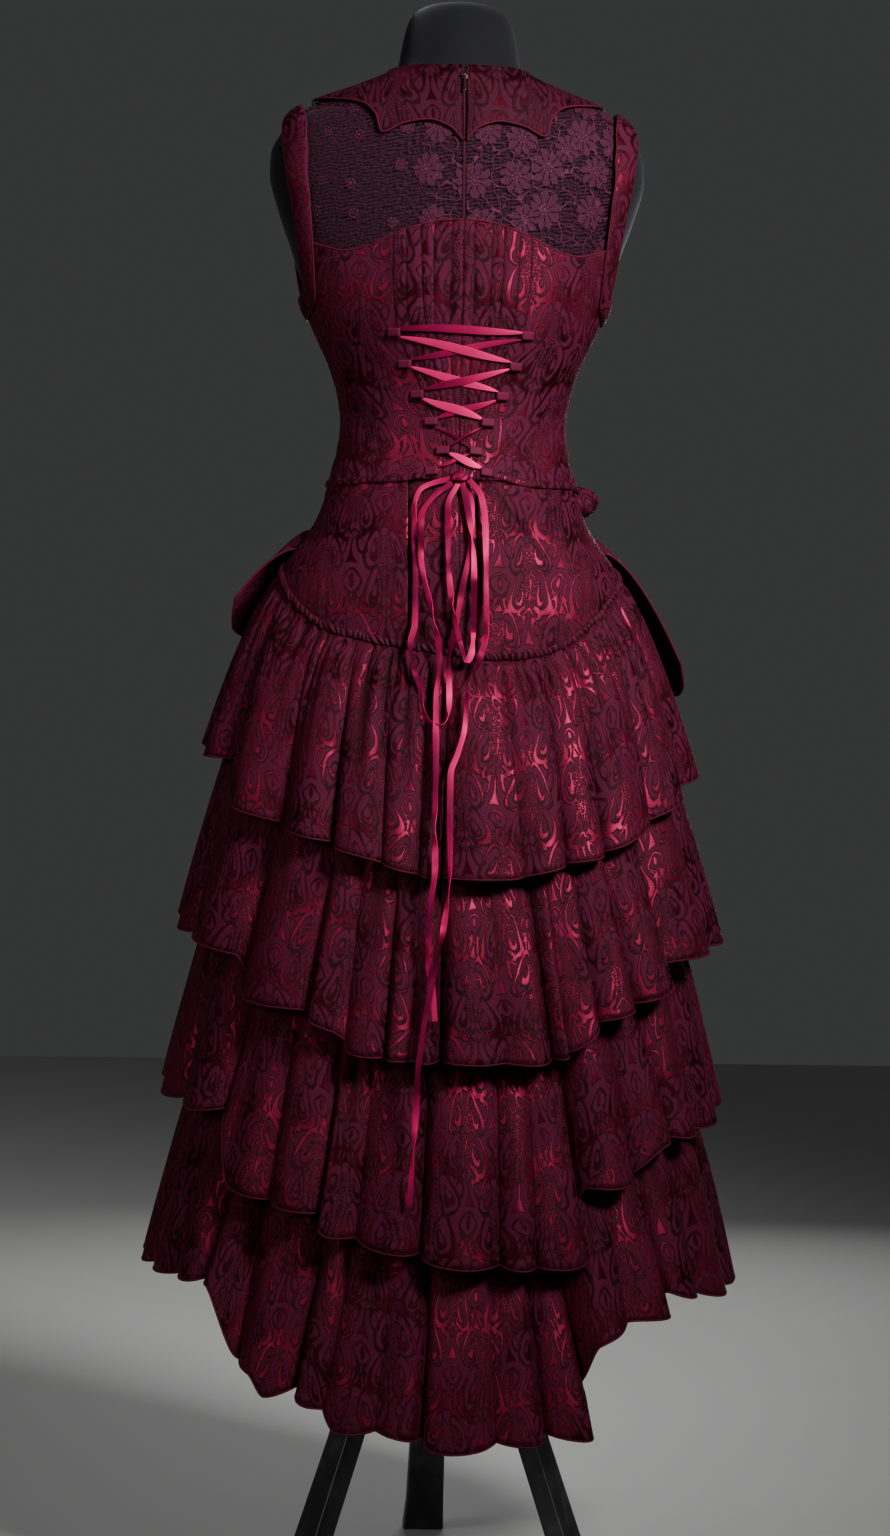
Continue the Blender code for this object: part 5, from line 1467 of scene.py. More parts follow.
@dataclass
class Lacing:
    """The bar across the top pair of loops and the two runs that cross down the V.

    A run passes down through each loop, so its spans meet the loop at its upper and its lower edge.
    """

    finish: bpy.types.Material
    points_per_span: int = 26
    inset: float = 0.0014
    reach: float = 0.0036
    sunk: float = 0.0006
    bar_above: float = 0.0014
    crown: float = 0.0019
    # Each span's lit numbers are its painted highlight and shade
    bar: tuple = (Span(0.0080, (0.10, 0.45, 0.80), 8.0, (0.55, 0.2)),)
    over: tuple = (Span(0.0086, (0.80, 1.00, 0.90), 14.0), Span(0.0078, (1.00, 0.62, 0.05), -20.0),
                   Span(0.0086, (0.95, 1.00, 0.95), 12.0), Span(0.0027, (0.30, 0.12, 0.10), 30.0),
                   Span(0.0074, (0.95, 1.00, 0.85), 10.0))
    under: tuple = (Span(0.0072, (0.25, 0.55, 0.10), -12.0), Span(0.0082, (0.90, 1.00, 1.00), 12.0),
                    Span(0.0072, (0.60, 0.42, 0.30), -14.0), Span(0.0025, (0.30, 0.12, 0.10), 30.0),
                    Span(0.0036, (0.45, 0.30, 0.15), -12.0))

    def run(self, stations: Sequence[tuple], spans: Sequence[Span], lift: float, crown: float) -> tuple:
        """A run over the body through loops.

        Args:
            stations: Its places seen from behind, two at each loop: where it goes in and where it comes out.
            spans: Its lengths between loops.
            lift: Height above the body.
            crown: Further height in the middle of each span.

        Returns:
            The points, the outward directions, the widths and the painted brightness.
        """
        x, z, width, twist, lit, rise = [], [], [], [], [], []
        share = shares(self.points_per_span)
        middle = np.sin(np.pi * share**1.1)
        for number, span in enumerate(spans):
            (x0, z0), (x1, z1) = stations[2 * number], stations[2 * number + 1]
            x.append(blend(x0, x1, share))
            z.append(blend(z0, z1, share) + 0.0007 * np.sin(math.tau * share + number * 1.7))
            width.append(span.wide * blend(blend(*span.ends, share), 1.0, middle**0.8))
            twist.append(np.radians(span.twist) * middle**2)
            lit.append(np.interp(share, (0.0, 0.5, 1.0), span.lit))
            rise.append(crown * middle)
        x, z, width, twist, lit, rise = (np.concatenate(part) for part in (x, z, width, twist, lit, rise))
        bearing = SURFACE.bearing_at(x, z)
        path = SURFACE.point(bearing, z, lift + rise + RIBBON / 2)
        out = SURFACE.normal(bearing, z)
        aside = np.cross(unit(np.gradient(path, axis=0)), out)
        return path, out * np.cos(twist)[:, None] + aside * np.sin(twist)[:, None], width, lit

    def stations(self, first: int) -> list:
        """Where a run comes out of each loop and goes into the next.

        Args:
            first: The side of the first loop, -1 for the left or 1 for the right.

        Returns:
            Places (x, z) in metres, from the top.
        """
        places = []
        for number, (x, z, _) in enumerate(LOOPS):
            side = first if number % 2 == 0 else -first
            x = side * (x - LOOP_LENGTH / 2 + self.inset)
            places += [(x, z + self.reach), (x, z - self.reach)]
        return places[1:-1]

    def build(self) -> None:
        """Builds the bar and both runs."""
        low = ON_BODICE_LIFT + SHIRR_DEPTH - self.sunk
        x, z, _ = LOOPS[0]
        x = x - LOOP_LENGTH / 2 + self.inset
        bar = [(-x, z + self.reach), (x, z + self.reach * 0.8)]
        for name, stations, spans, lift, crown in (
                ("bar", bar, self.bar, low + self.bar_above, 0.0),
                ("run_over", self.stations(-1), self.over, low, self.crown),
                ("run_under", self.stations(1), self.under, low, 0.0)):
            path, out, wide, lit = self.run(stations, spans, lift, crown)
            ribbon_piece(name, path, out, lit, wide, self.finish)


# Dress form and stand


@dataclass
class DressForm:
    """The limbless torso in black velvet, and its coated stand."""

    velvet: bpy.types.Material
    coat: bpy.types.Material
    columns: int = 120
    top: float = 1.5590
    tip: float = 0.004
    neck: float = 1.505
    edge: float = 0.0022
    parts: tuple = ("stand_pole", "stand_hub", "stand_leg_1", "stand_leg_2", "stand_leg_3")

    def torso(self) -> None:
        """Builds the smooth torso, with its rounded neck cap and flat base."""
        bearings = around(self.columns)[:-1]
        cap = [ring(bearings, *row) for row in ((self.top, *[self.tip] * 3), *FORM_CAP)]
        heights = np.concatenate([np.linspace(self.neck, 1.40, 30), np.linspace(1.395, FORM_BASE, 60)])
        inside = Curve(FORM_CLEARANCE)(heights)
        rows = [SURFACE.point(bearings, z, -gap) for z, gap in zip(heights, inside)]
        rows[-1][:, 2] = FORM_BASE
        rings = np.array(cap + rows)
        fine = []
        for a, b in zip(rings[:5], rings[1:6]):
            fine += [blend(a, b, s) for s in (0.0, 0.34, 0.67)]
        fine = self.round_off(np.array(fine + list(rings[5:])))
        dress(tube_mesh("velvet_torso", fine), self.velvet, Slot.VELVET, "form_torso")

    def round_off(self, rings: Array) -> Array:
        """The rings with the neck's facets smoothed from ring to ring."""
        out = rings.copy()
        for _ in range(3):
            out[1:18] = 0.25 * out[0:17] + 0.5 * out[1:18] + 0.25 * out[2:19]
        return out

    def stand(self) -> None:
        """Builds the stand's parts from copies of the solids; all but the round pole have rounded edges."""
        for node in self.parts:
            edge = 0.0 if node == "stand_pole" else self.edge
            mesh = rounded_copy(f"coated_{node}", node, SHEET_MERGE, edge)
            dress(mesh, self.coat, Slot.STAND, node)

    def build(self) -> None:
        """Builds the form and its stand."""
        self.torso()
        self.stand()


# Yoke, collar and bands


def arm_bearing(z: Number) -> Array:
    """Bearing of a panel's armhole edge, which lies under the band."""
    rows = [(row[1], row[0] + 3.5) for row in ARMHOLE_BAND[2:-1]]
    rows += [(ARMHOLE_BAND[-1][1], 90.0), (ARMHOLE_BAND[0][1], 90.0)]
    return np.minimum(90.0, Curve(rows)(z))


@dataclass
class Yoke:
    """Lace yoke: two back halves, parted by the zip, and one front."""

    finish: bpy.types.Material
    across: int = 60
    down: int = 40

    def half(self, front: bool) -> Array:
        """The right half, from the centre line to the armhole, as rows from the neck down.

        Args:
            front: Whether it is the front's half or the back's.

        Returns:
            Points in metres.
        """
        edge = Curve(BODICE_TOP_FRONT if front else BODICE_TOP_BACK)
        centre = 0.0 if front else OPENING_HALF
        drop = 0.014 if front else 0.0
        tops = [(blend(centre, 0.055, s), NAPE - drop * (1 - s) + 0.001 * s) for s in shares(3)]
        tops += [(float(SURFACE.side(z)), z) for z in (1.4865, 1.47, 1.455, 1.444)]
        along = shares(self.across)[None] * 7
        x_top = Curve([(i, p[0]) for i, p in enumerate(tops)])(along)
        z_top = Curve([(i, p[1]) for i, p in enumerate(tops)])(along)
        x_low = blend(centre, SIDE_X, along / 7)
        v = shares(self.down)[:, None] ** 1.6
        z = blend(z_top, edge(x_low) - 0.005, v)
        bearing = np.minimum(SURFACE.bearing_at(blend(x_top, x_low, v), z), arm_bearing(z))
        points = SURFACE.point(180 - bearing if front else bearing, z, YOKE_LIFT)
        points[..., 1] = np.maximum(points[..., 1], GAP) if front else np.minimum(points[..., 1], -GAP)
        return points

    def build(self) -> None:
        """Builds the three pieces."""
        for name, rows, middle in both_sides(self.half(False)):
            cloth(f"lace_back_{name}", rows, plain_uv(rows, middle), self.finish, f"yoke_back_{name}",
                  slot=Slot.LACE, thickness=LACE)
        front = self.half(True)
        rows = np.concatenate([front[:, ::-1], mirror_rows(front)[:, ::-1][:, 1:]], axis=1)
        cloth("lace_front", rows, plain_uv(rows, self.across), self.finish, "yoke_front", slot=Slot.LACE,
              thickness=LACE)


def edge_cord(name: str, line: Array, out: Array, radius: float, finish: bpy.types.Material,
              closed: bool = False) -> bpy.types.Object:
    """A thin rolled edge along a line, as its own piece.

    Args:
        name: The piece's name.
        line: The points down its middle.
        out: The outward direction at each point.
        radius: Its radius.
        finish: Its material.
        closed: Whether the line's last point is its first.

    Returns:
        The piece.
    """
    if closed:
        line, out = line[:-1], out[:-1]
        wrapped = np.concatenate([line[-1:], line, line[:1]])
        rings = sweep(wrapped, np.concatenate([out[-1:], out, out[:1]]), radius, radius, oval(6))[1:-1]
    else:
        rings = sweep(line, out, radius, radius, oval(6))
    return dress(tube_mesh(name, rings, closed), finish, Slot.JACQUARD)


@dataclass
class Collar:
    """Scalloped collar in two halves that meet at the zip, with a rolled edge."""

    finish: bpy.types.Material
    trim: bpy.types.Material
    across: int = 150
    down: int = 22

    def half(self) -> Array:
        """The right half, as rows from the neck to the scallops.

        Returns:
            Points in metres.
        """
        at = shares(self.across)[None] * (len(COLLAR) - 1)
        ribs = [Curve([(i, row[k]) for i, row in enumerate(COLLAR)])(at) for k in range(4)]
        t = shares(self.down)[:, None]
        bearing = blend(ribs[0], ribs[2], t)
        z = blend(ribs[1], ribs[3], t)
        curl = 0.0012 * t**3 * np.abs(np.sin(at * 0.9))
        return SURFACE.point(bearing, z, COLLAR_LIFT + curl)

    def build(self) -> None:
        """Builds both halves and their edges."""
        for name, rows, middle in both_sides(self.half()):
            cloth(f"damask_collar_{name}", rows, plain_uv(rows, middle), self.finish, f"collar_{name}")
            out = outward(rows)[-1]
            edge_cord(f"collar_edge_{name}", rows[-1] + out * JACQUARD * 0.6, out, ROLL, self.trim)


@dataclass
class ArmholeBands:
    """A band round each armhole, with a rolled edge on either side."""

    finish: bpy.types.Material
    trim: bpy.types.Material
    across: int = 180
    down: int = 8
    cut_width: float = 0.02
    roll: float = 0.0009

    def build(self) -> None:
        """Builds both bands."""
        front = ((180 - row[0], row[1], 180 - row[2], row[3]) for row in reversed(ARMHOLE_BAND[1:-1]))
        loop = (*ARMHOLE_BAND, *front)
        at = np.linspace(0, len(loop), self.across + 1)[None]
        table = [(i, *loop[i % len(loop)]) for i in range(-3, len(loop) + 4)]
        ribs = [Curve(table, k)(at) for k in range(1, 5)]
        t = shares(self.down)[:, None]
        puff = 0.0010 * np.sin(np.pi * t)
        bearing, z = blend(ribs[0], ribs[2], t), blend(ribs[1], ribs[3], t)
        right = SURFACE.point(bearing, z, BAND_LIFT + puff)[:, ::-1]
        for name, rows, _ in both_sides(right):
            along = arc(rows[len(rows) // 2][None])
            uv = np.stack(np.broadcast_arrays(t * self.cut_width, along), axis=-1)
            cloth(f"damask_band_{name}", rows, uv, self.finish, f"armhole_band_{name}",
                  closed=True)
            out = outward(rows)
            for tag, row in (("inner", 0), ("outer", -1)):
                line = rows[row] + out[row] * JACQUARD * 0.5
                edge_cord(f"band_edge_{tag}_{name}", line, out[row], self.roll, self.trim, closed=True)


# Bodice


@dataclass
class Bodice:
    """Side backs, the shirred centre backs and one front, bound along the back's top.

    A pair is a least value and how much more it can be. A dart is a place across, a width and a depth.
    """

    finish: bpy.types.Material
    trim: bpy.types.Material
    across: int = 84
    side_across: int = 70
    down: int = 70
    front_across: int = 90
    side_u: float = 0.075
    shirrs: tuple = (0.0, 0.17, 0.40, 0.58, 0.83, 1.0)
    wander: float = 0.018
    ridge_round: float = 0.62
    ridge_height: tuple = (0.72, 0.28)
    # Width and darkness of the painted shade between the shirring's ridges
    gap_width: float = 0.085
    gap_shade: float = 0.92
    pucker_depth: float = 0.0020
    ripple_depth: float = 0.0007
    dart: tuple = (0.55, 0.03, 0.0008)

    def ridge_at(self, u: Array, v: Array) -> Array:
        """Which ridge of the shirring each point is on: whole numbers in the valleys, which wander a little."""
        wander = self.wander * np.sin(v * 5.0 + u * 9.0)
        return np.interp(np.clip(u + wander, 0, 1), self.shirrs, range(len(self.shirrs)))

    def shirring(self, u: Array, v: Array) -> Array:
        """Share of the shirring's depth: rounded ridges of uneven width between narrow valleys."""
        at = self.ridge_at(u, v)
        ridge = np.abs(np.sin(np.pi * at)) ** self.ridge_round
        return ridge * least_and_more(self.ridge_height, np.cos(at * 1.9 + v * 2.2))

    def gaps(self) -> Array:
        """Painted shade at each point of the right centre back, deepest between two ridges of the shirring."""
        u, v = shares(self.across)[None], shares(self.down)[:, None]
        at = self.ridge_at(u, v)
        away = np.abs(at - np.round(at))
        patch = least_and_more(self.ridge_height, np.sin(v * 19.0 + np.round(at) * 2.4))
        return self.gap_shade * bell(away, self.gap_width) * patch * np.clip(u * 12, 0.35, 1.0)

    def rows(self) -> dict:
        """Rows of points of each right panel and of the front.

        Returns:
            The rows by the panel's name.
        """
        half = Curve(CENTRE_PANEL)
        v = shares(self.down)[:, None]
        u = shares(self.across)[None]
        widest = CENTRE_PANEL[0][1]
        z = blend(Curve(BODICE_TOP_BACK)(blend(CLOSED_HALF, widest, u)), WAIST_SEAM + SEAM_GAP, v)
        edge = half(z) - SLIT
        lift = BODICE_LIFT + SHIRR_DEPTH * self.shirring(u, v) * np.minimum(1.0, edge / 0.04)
        centre = SURFACE.point(SURFACE.bearing_at(blend(CLOSED_HALF, edge, u), z), z, lift)
        u = shares(self.side_across)[None]
        z = blend(Curve(BODICE_TOP_BACK)(blend(widest, SIDE_X, u)), WAIST_SEAM + SEAM_GAP, v)
        near = SURFACE.bearing_at(half(z) + SLIT, z)
        pucker = np.abs(np.sin(u * 21 + v * 17 + 0.8 * np.sin(u * 9))) ** 1.6 * bell(1 - v, 0.055)
        ripple = self.ripple_depth * np.sin(v * 40 + u * 12) ** 2 * bell(v - 0.84, 0.10) * u
        lift = BODICE_LIFT + (self.pucker_depth * pucker + ripple)
        side = SURFACE.point(blend(near, arm_bearing(z) - SIDE_SEAM, u), z, lift)
        u = shares(self.front_across)[None]
        z = blend(Curve(BODICE_TOP_FRONT)(blend(SIDE_X, 0.0, u)), WAIST_SEAM + SEAM_GAP, v)
        place, width, depth = self.dart
        dart = depth * bell(u - place, width) * np.clip((v - 0.35) * 2, 0, 1)
        front = SURFACE.point(blend(180 - arm_bearing(z) + SIDE_SEAM, 180, u), z, BODICE_LIFT + dart)
        front = np.concatenate([front, mirror_rows(front)[:, 1:]], axis=1)
        return {"centre": centre, "side": side, "front": front}

    def build(self) -> None:
        """Builds the five panels."""
        rows = self.rows()
        gaps = self.gaps()
        for name, held, start in (("centre", Held.GATHERED, 0.0), ("side", Held.STRETCHED, self.side_u)):
            for tag, panel, middle in both_sides(rows[name]):
                uv = plain_uv(panel, middle)
                uv[..., 0] += -start if middle else start
                # Painted shade between the shirring's ridges, on the centre backs only
                crease = 0.0 if start else (gaps[:, ::-1] if middle else gaps)
                cloth(f"damask_{name}_{tag}", panel, uv, self.finish, f"bodice_back_{name}_{tag}",
                      crease=crease)
        front = rows["front"]
        cloth("damask_front", front, plain_uv(front, self.front_across), self.finish, "bodice_front")
        top = np.concatenate([rows["centre"][0], rows["side"][0]])
        for tag, side in (("right", 1.0), ("left", -1.0)):
            line = top * np.array([side, 1.0, 1.0])
            out = unit(line * np.array([1.0, 1.0, 0.0]))
            edge_cord(f"bodice_edge_{tag}", line + out * JACQUARD * 0.7, out, ROLL, self.trim)


# Skirt


@dataclass
class SkirtShape:
    """Where the skirt's layers lie: all share one direction at each bearing and height.

    Lengths are in metres and angles in degrees. A pair such as crease_depth is the least value and how much
    more it can be. Wander is waves round, phase from tier to tier and size. Gathers are a number round the tier
    and the share of its height that the shortest run down, for the first tier and for the others.
    """

    side: float = 0.236
    back: float = 0.208
    front: float = 0.200
    swell: float = 1.8
    tail: float = 0.045
    hip: float = 0.900
    round: float = 0.700
    wander: tuple = ((5, 2.0, 1.3), (11, 1.0, 0.9))
    lobe_skew: tuple = (0.80, 0.45)
    lobe_floor: float = 0.0006
    valley_run: float = 0.8
    gathers: tuple = ((112, 0.09), (92, 0.20))
    crease_depth: tuple = (0.0026, 0.0036)
    crease_run: float = 0.60
    crease_width: tuple = (0.60, 0.45)
    crease_spread: tuple = (0.9, 2.4)
    crease_lean: float = 4.0
    crease_start: float = 0.35
    deepest: float = 0.0075
    room_from: float = 0.45
    free_slope: float = 1.6
    lap_share: float = 0.42
    lap_run: float = 1.4
    seam: Curve = field(default_factory=lambda: Curve(HIP_SEAM))
    hems: list = field(default_factory=lambda: [Curve(tier.hem) for tier in TIERS])

    def hip_seam(self, bearing: Number) -> Array:
        """Height of the seam under the hip yoke."""
        return self.seam(periodic(bearing))

    def direction(self, bearing: Number, z: Number) -> Array:
        """Level directions out of the axis."""
        share = np.clip((self.hip - z) / (self.hip - self.round), 0.0, 1.0)
        body = SURFACE.section(np.maximum(z, self.hip))
        low = (self.side, self.back, self.front)
        plan = [blend(a / body[0], b / self.side, share) for a, b in zip(body, low)]
        return unit(ring(bearing, 0.0 * z, *plan))

    def point(self, bearing: Number, radius: Number, z: Number, shift: Number = 0.0) -> Array:
        """Points of the skirt at distances from the axis."""
        given = (np.asarray(v, float) for v in (bearing, radius, z, shift))
        bearing, radius, z, shift = np.broadcast_arrays(*given)
        out = self.direction(bearing, z)
        return np.stack([out[..., 0] * radius + shift, out[..., 1] * radius, z], axis=-1)

    def reach(self, bearing: Number, z: Number, side: Number, back: Number, front: Number) -> Array:
        """Level distances from the axis to plan sections."""
        out = self.direction(bearing, z)
        depth = np.where(out[..., 1] < 0, back, front)
        return 1 / np.hypot(out[..., 0] / side, out[..., 1] / depth)

    def hem(self, number: int, bearing: Number) -> Array:
        """Heights of a tier's hem."""
        return self.hems[number](periodic(bearing))

    def foundation(self, bearing: Array, z: Array) -> Array:
        """Inner radius of the foundation skirt.

        Args:
            bearing: Degrees round the axis from the centre back.
            z: Heights in metres.

        Returns:
            The radius in metres.
        """
        top = self.hip_seam(bearing) - HEADING
        low = self.hem(2, bearing) + self.tail
        t = np.clip((top - z) / (top - low), 0.0, 1.0)
        start = self.reach(bearing, z, *SURFACE.section(top)) + HIP_CENTRE_LIFT
        inset = LINING_INSET * np.clip(t * 2.5, 0.0, 1.0)
        end = self.reach(bearing, z, self.side, self.back, self.front) - inset
        return blend(start, end, 1 - (1 - t) ** self.swell)

    def fold_table(self, number: int) -> Array:
        """A tier's valleys once round by rising bearing, the first repeated: bearing and depth in metres."""
        rows = [(place, depth) for place, depth, _ in BACK_FOLDS[number] + FRONT_FOLDS]
        rows.append((rows[0][0] + 360, rows[0][1]))
        return np.array(rows) * np.array([1.0, 0.001 * FOLD_DEPTH])

    def valley(self, number: int, bearing: Array, t: Array) -> Array:
        """Depth of a tier's main folds: round lobes side by side, with a narrow valley between two.

        Args:
            number: The tier, from 0.
            bearing: Degrees round the axis from the centre back.
            t: Share of the way from the tier's seam to its hem.

        Returns:
            The depth in metres, at least 0.
        """
        table = self.fold_table(number)
        turn = np.radians(bearing)
        wander = sum(size * np.sin(turn * waves + number * phase) for waves, phase, size in self.wander)
        first = table[0, 0]
        turned = (bearing + wander * (1 - t) - first) % 360 + first
        at = np.interp(turned, table[:, 0], np.arange(len(table)))
        skew = least_and_more(self.lobe_skew, uneven(np.floor(at), number + 4.0))
        share = (at % 1.0) ** skew
        lobe = (np.sin(np.pi * share) ** 2 + self.lobe_floor) ** LOBE_ROUND
        return np.interp(at, np.arange(len(table)), table[:, 1]) * (1 - lobe)

    def bearings(self, number: int, count: int) -> Array:
        """Bearings once round, closer together at a tier's valleys."""
        even = np.linspace(-180.0, 180.0, 7201)
        away = np.abs(periodic(even[:, None] - self.fold_table(number)[None, :, 0])).min(axis=1)
        total = np.cumsum(1 + 2.6 * bell(away, 1.7))
        return np.interp(shares(count), (total - total[0]) / (total[-1] - total[0]), even)

    def creases(self, number: int, bearing: Array, t: Array) -> Array:
        """Depth of the small gathers, which start at the seam and run out unevenly.

        Args:
            number: The tier, from 0.
            bearing: Degrees round the axis from the centre back.
            t: Share of the way from the tier's seam to its hem.

        Returns:
            The depth in metres, at least 0.
        """
        count, short = self.gathers[min(number, 1)]
        total = np.zeros(np.broadcast(bearing, t).shape)
        spread = least_and_more(self.crease_spread, t)
        for i in range(count):
            place = 360 * (i + 0.8 * uneven(i, number + 9.0)) / count
            depth = least_and_more(self.crease_depth, uneven(i, number + 1.0))
            runs = short + self.crease_run * uneven(i, number + 2.0) ** 3
            width = least_and_more(self.crease_width, uneven(i, number + 3.0))
            lean = (uneven(i, number + 5.0) - 0.5) * self.crease_lean
            away = periodic(bearing - place - lean * t) / (width * spread)
            total += depth * bell(away) * bell(t, runs) * np.clip(t * 30, self.crease_start, 1.0)
        return np.minimum(total, self.deepest)

    def tier_top(self, number: int, bearing: Number) -> Array:
        """Heights of a tier's gathered top edge."""
        if number == 0:
            return self.hip_seam(bearing) - HEADING - 2 * SEAM_GAP
        return self.hem(number - 1, bearing) + TIER_OVERLAP

    def tier(self, number: int, bearing: Array, z: Array, fine: bool = True) -> Array:
        """Inner radius of a tier, with its folds, kept between its neighbours.

        Args:
            number: The tier, from 0.
            bearing: Degrees round the axis from the centre back.
            z: Heights in metres.
            fine: Whether the small gathers are in it too.

        Returns:
            The radius in metres.
        """
        shape = TIERS[number]
        top = self.tier_top(number, bearing)
        low = self.hem(number, bearing)
        t = np.clip((top - z) / (top - low), 0.0, 1.0)
        start = self.foundation(bearing, top) + JACQUARD + shape.seat
        end = self.reach(bearing, z, shape.side, shape.back, shape.front) - JACQUARD
        radius = blend(start, end, t**shape.swell) - self.valley(number, bearing, t) * t**self.valley_run
        if fine:
            radius = radius - self.creases(number, bearing, t)
        last = number == len(TIERS) - 1
        room = 0.0 if last else NEXT_TIER_ROOM * np.clip((t - self.room_from) * 4.0, 0.0, 1.0)
        least = self.foundation(bearing, z) + JACQUARD + shape.seat + room
        if number > 0:
            above = self.hem(number - 1, bearing)
            limit = self.tier(number - 1, bearing, above, False) - JACQUARD - TIER_TO_TIER
            radius = np.minimum(radius, limit + np.maximum(0.0, above - z) * self.free_slope)
        return np.maximum(radius, least)

    def lean(self, number: int, bearing: Array, t: Array) -> Array:
        """Turn of each point round the axis, by which a deep fold laps over its valley.

        Args:
            number: The tier, from 0.
            bearing: Degrees round the axis from the centre back.
            t: Share of the way from the tier's seam to its hem.

        Returns:
            The turn in degrees.
        """
        total = np.zeros(np.broadcast(bearing, t).shape)
        for place, _, lap in BACK_FOLDS[number]:
            sign = math.copysign(1.0, place)
            edge = place - sign * VALLEY_WIDTH * 0.9
            away = periodic(bearing - edge) / (VALLEY_WIDTH * 0.95)
            total += sign * abs(lap) * self.lap_share * bell(away) * t**self.lap_run
        return total


SKIRT = SkirtShape()


@dataclass
class HipYoke:
    """Smooth flared panels; the centre backs lie under the edges of the side backs.

    The diagonal fold starts at a height and a distance from the middle, has a width, and goes out by its
    slope until its end. Its painted shade is narrower and starts a little further out.
    """

    finish: bpy.types.Material
    left_x: float = -0.054
    right_x: float = 0.024
    lap: float = 0.006
    under: float = 0.0030
    fold_top: float = 1.080
    fold_end: float = 0.985
    fold_slope: float = 0.72
    fold: tuple = (0.022, 0.0055)
    fold_shade: tuple = (0.0255, 0.0022)
    fold_depth: float = 0.0026
    lap_depth: float = 0.0012
    pucker_depth: float = 0.0020
    darkest: float = 0.9
    down: int = 44
    front_across: int = 150

    def centre(self, first: float, last: float, count: int) -> Array:
        """Rows of a centre panel between two distances from the middle."""
        x = blend(first, last, shares(count))[None]
        v = shares(self.down)[:, None]
        z = blend(WAIST_SEAM - SEAM_GAP, SKIRT.hip_seam(SURFACE.bearing_at(x, 0.95)) - self.under, v)
        return SURFACE.point(SURFACE.bearing_at(x, z), z, HIP_CENTRE_LIFT)

    def diagonal(self, x: Array, z: Array, start: float, width: float) -> Array:
        """Share of the depth of a soft fold down and out from the waist, at a distance from the middle."""
        away = (x - start - (self.fold_top - z) * self.fold_slope) / width
        return bell(away) * np.clip((z - self.fold_end) * 22, 0, 1)

    def side(self, edge_x: float, seam: float, count: int) -> Array:
        """Rows of a side back from its lapped edge to the side seam.

        Args:
            edge_x: How far the lapped edge lies from the centre.
            seam: Bearing of the side seam in degrees.
            count: Spaces from the edge to the seam.

        Returns:
            Points in metres.
        """
        u, v = shares(count)[None], shares(self.down)[:, None]
        z = WAIST_SEAM - SEAM_GAP + 0 * u * v
        for _ in range(4):
            bearing = blend(SURFACE.bearing_at(edge_x, z), seam, u)
            z = blend(WAIST_SEAM - SEAM_GAP, SKIRT.hip_seam(bearing) - self.under, v)
        x = SURFACE.point(bearing, z)[..., 0]
        fold = self.fold_depth * self.diagonal(x, z, *self.fold) if edge_x > 0 else 0.0
        lap = self.lap_depth * bell(u, 0.05) * np.clip(v * 6, 0, 1)
        slant = np.abs(np.sin(u * 19 + v * 26 * np.sign(edge_x) + 2.0 + 0.7 * np.sin(u * 11))) ** 1.6
        pucker = self.pucker_depth * slant * bell(v, 0.12) + lap
        return SURFACE.point(bearing, z, HIP_SIDE_LIFT + fold + pucker)

    def shade(self, name: str, rows: Array) -> Number:
        """Painted shade at each point: in the diagonal fold, or the shadow beside the edge of the panel that
        laps over it.

        Args:
            name: The panel's name.
            rows: Its rows of points.

        Returns:
            From 0 to 1.
        """
        x, z = rows[..., 0], rows[..., 2]
        if name == "side_right":
            return self.darkest * self.diagonal(x, z, *self.fold_shade)
        if name.startswith("centre"):
            edge = self.right_x - self.lap if name == "centre_right" else -self.left_x - self.lap
            return self.darkest * bell(np.abs(x) - edge, 0.0024)
        return 0.0

    def build(self) -> None:
        """Builds the five panels."""
        panels = (
            ("centre_left", self.centre(self.left_x, -CLOSED_HALF, 30), -1),
            ("centre_right", self.centre(CLOSED_HALF, self.right_x, 16), 0),
            ("side_right", self.side(self.right_x - self.lap, 89.85, 80), 0),
            ("side_left", self.side(self.left_x + self.lap, -89.85, 76)[:, ::-1], -1),
        )
        for name, rows, middle in panels:
            uv = plain_uv(rows, middle)
            uv[..., 0] += rows[:1, [middle], 0]
            # Painted shade in the diagonal fold and beside the lapping edges
            shade = self.shade(name, rows)
            cloth(f"damask_hip_{name}", rows, uv, self.finish, f"hip_yoke_{name}", crease=shade)
        bearing = blend(90.15, 269.85, shares(self.front_across))[None]
        z = blend(WAIST_SEAM - SEAM_GAP, SKIRT.hip_seam(bearing) - self.under, shares(self.down)[:, None])
        rows = SURFACE.point(bearing, z, HIP_SIDE_LIFT)
        cloth("damask_hip_front", rows, plain_uv(rows, self.front_across // 2), self.finish, "hip_yoke_front")


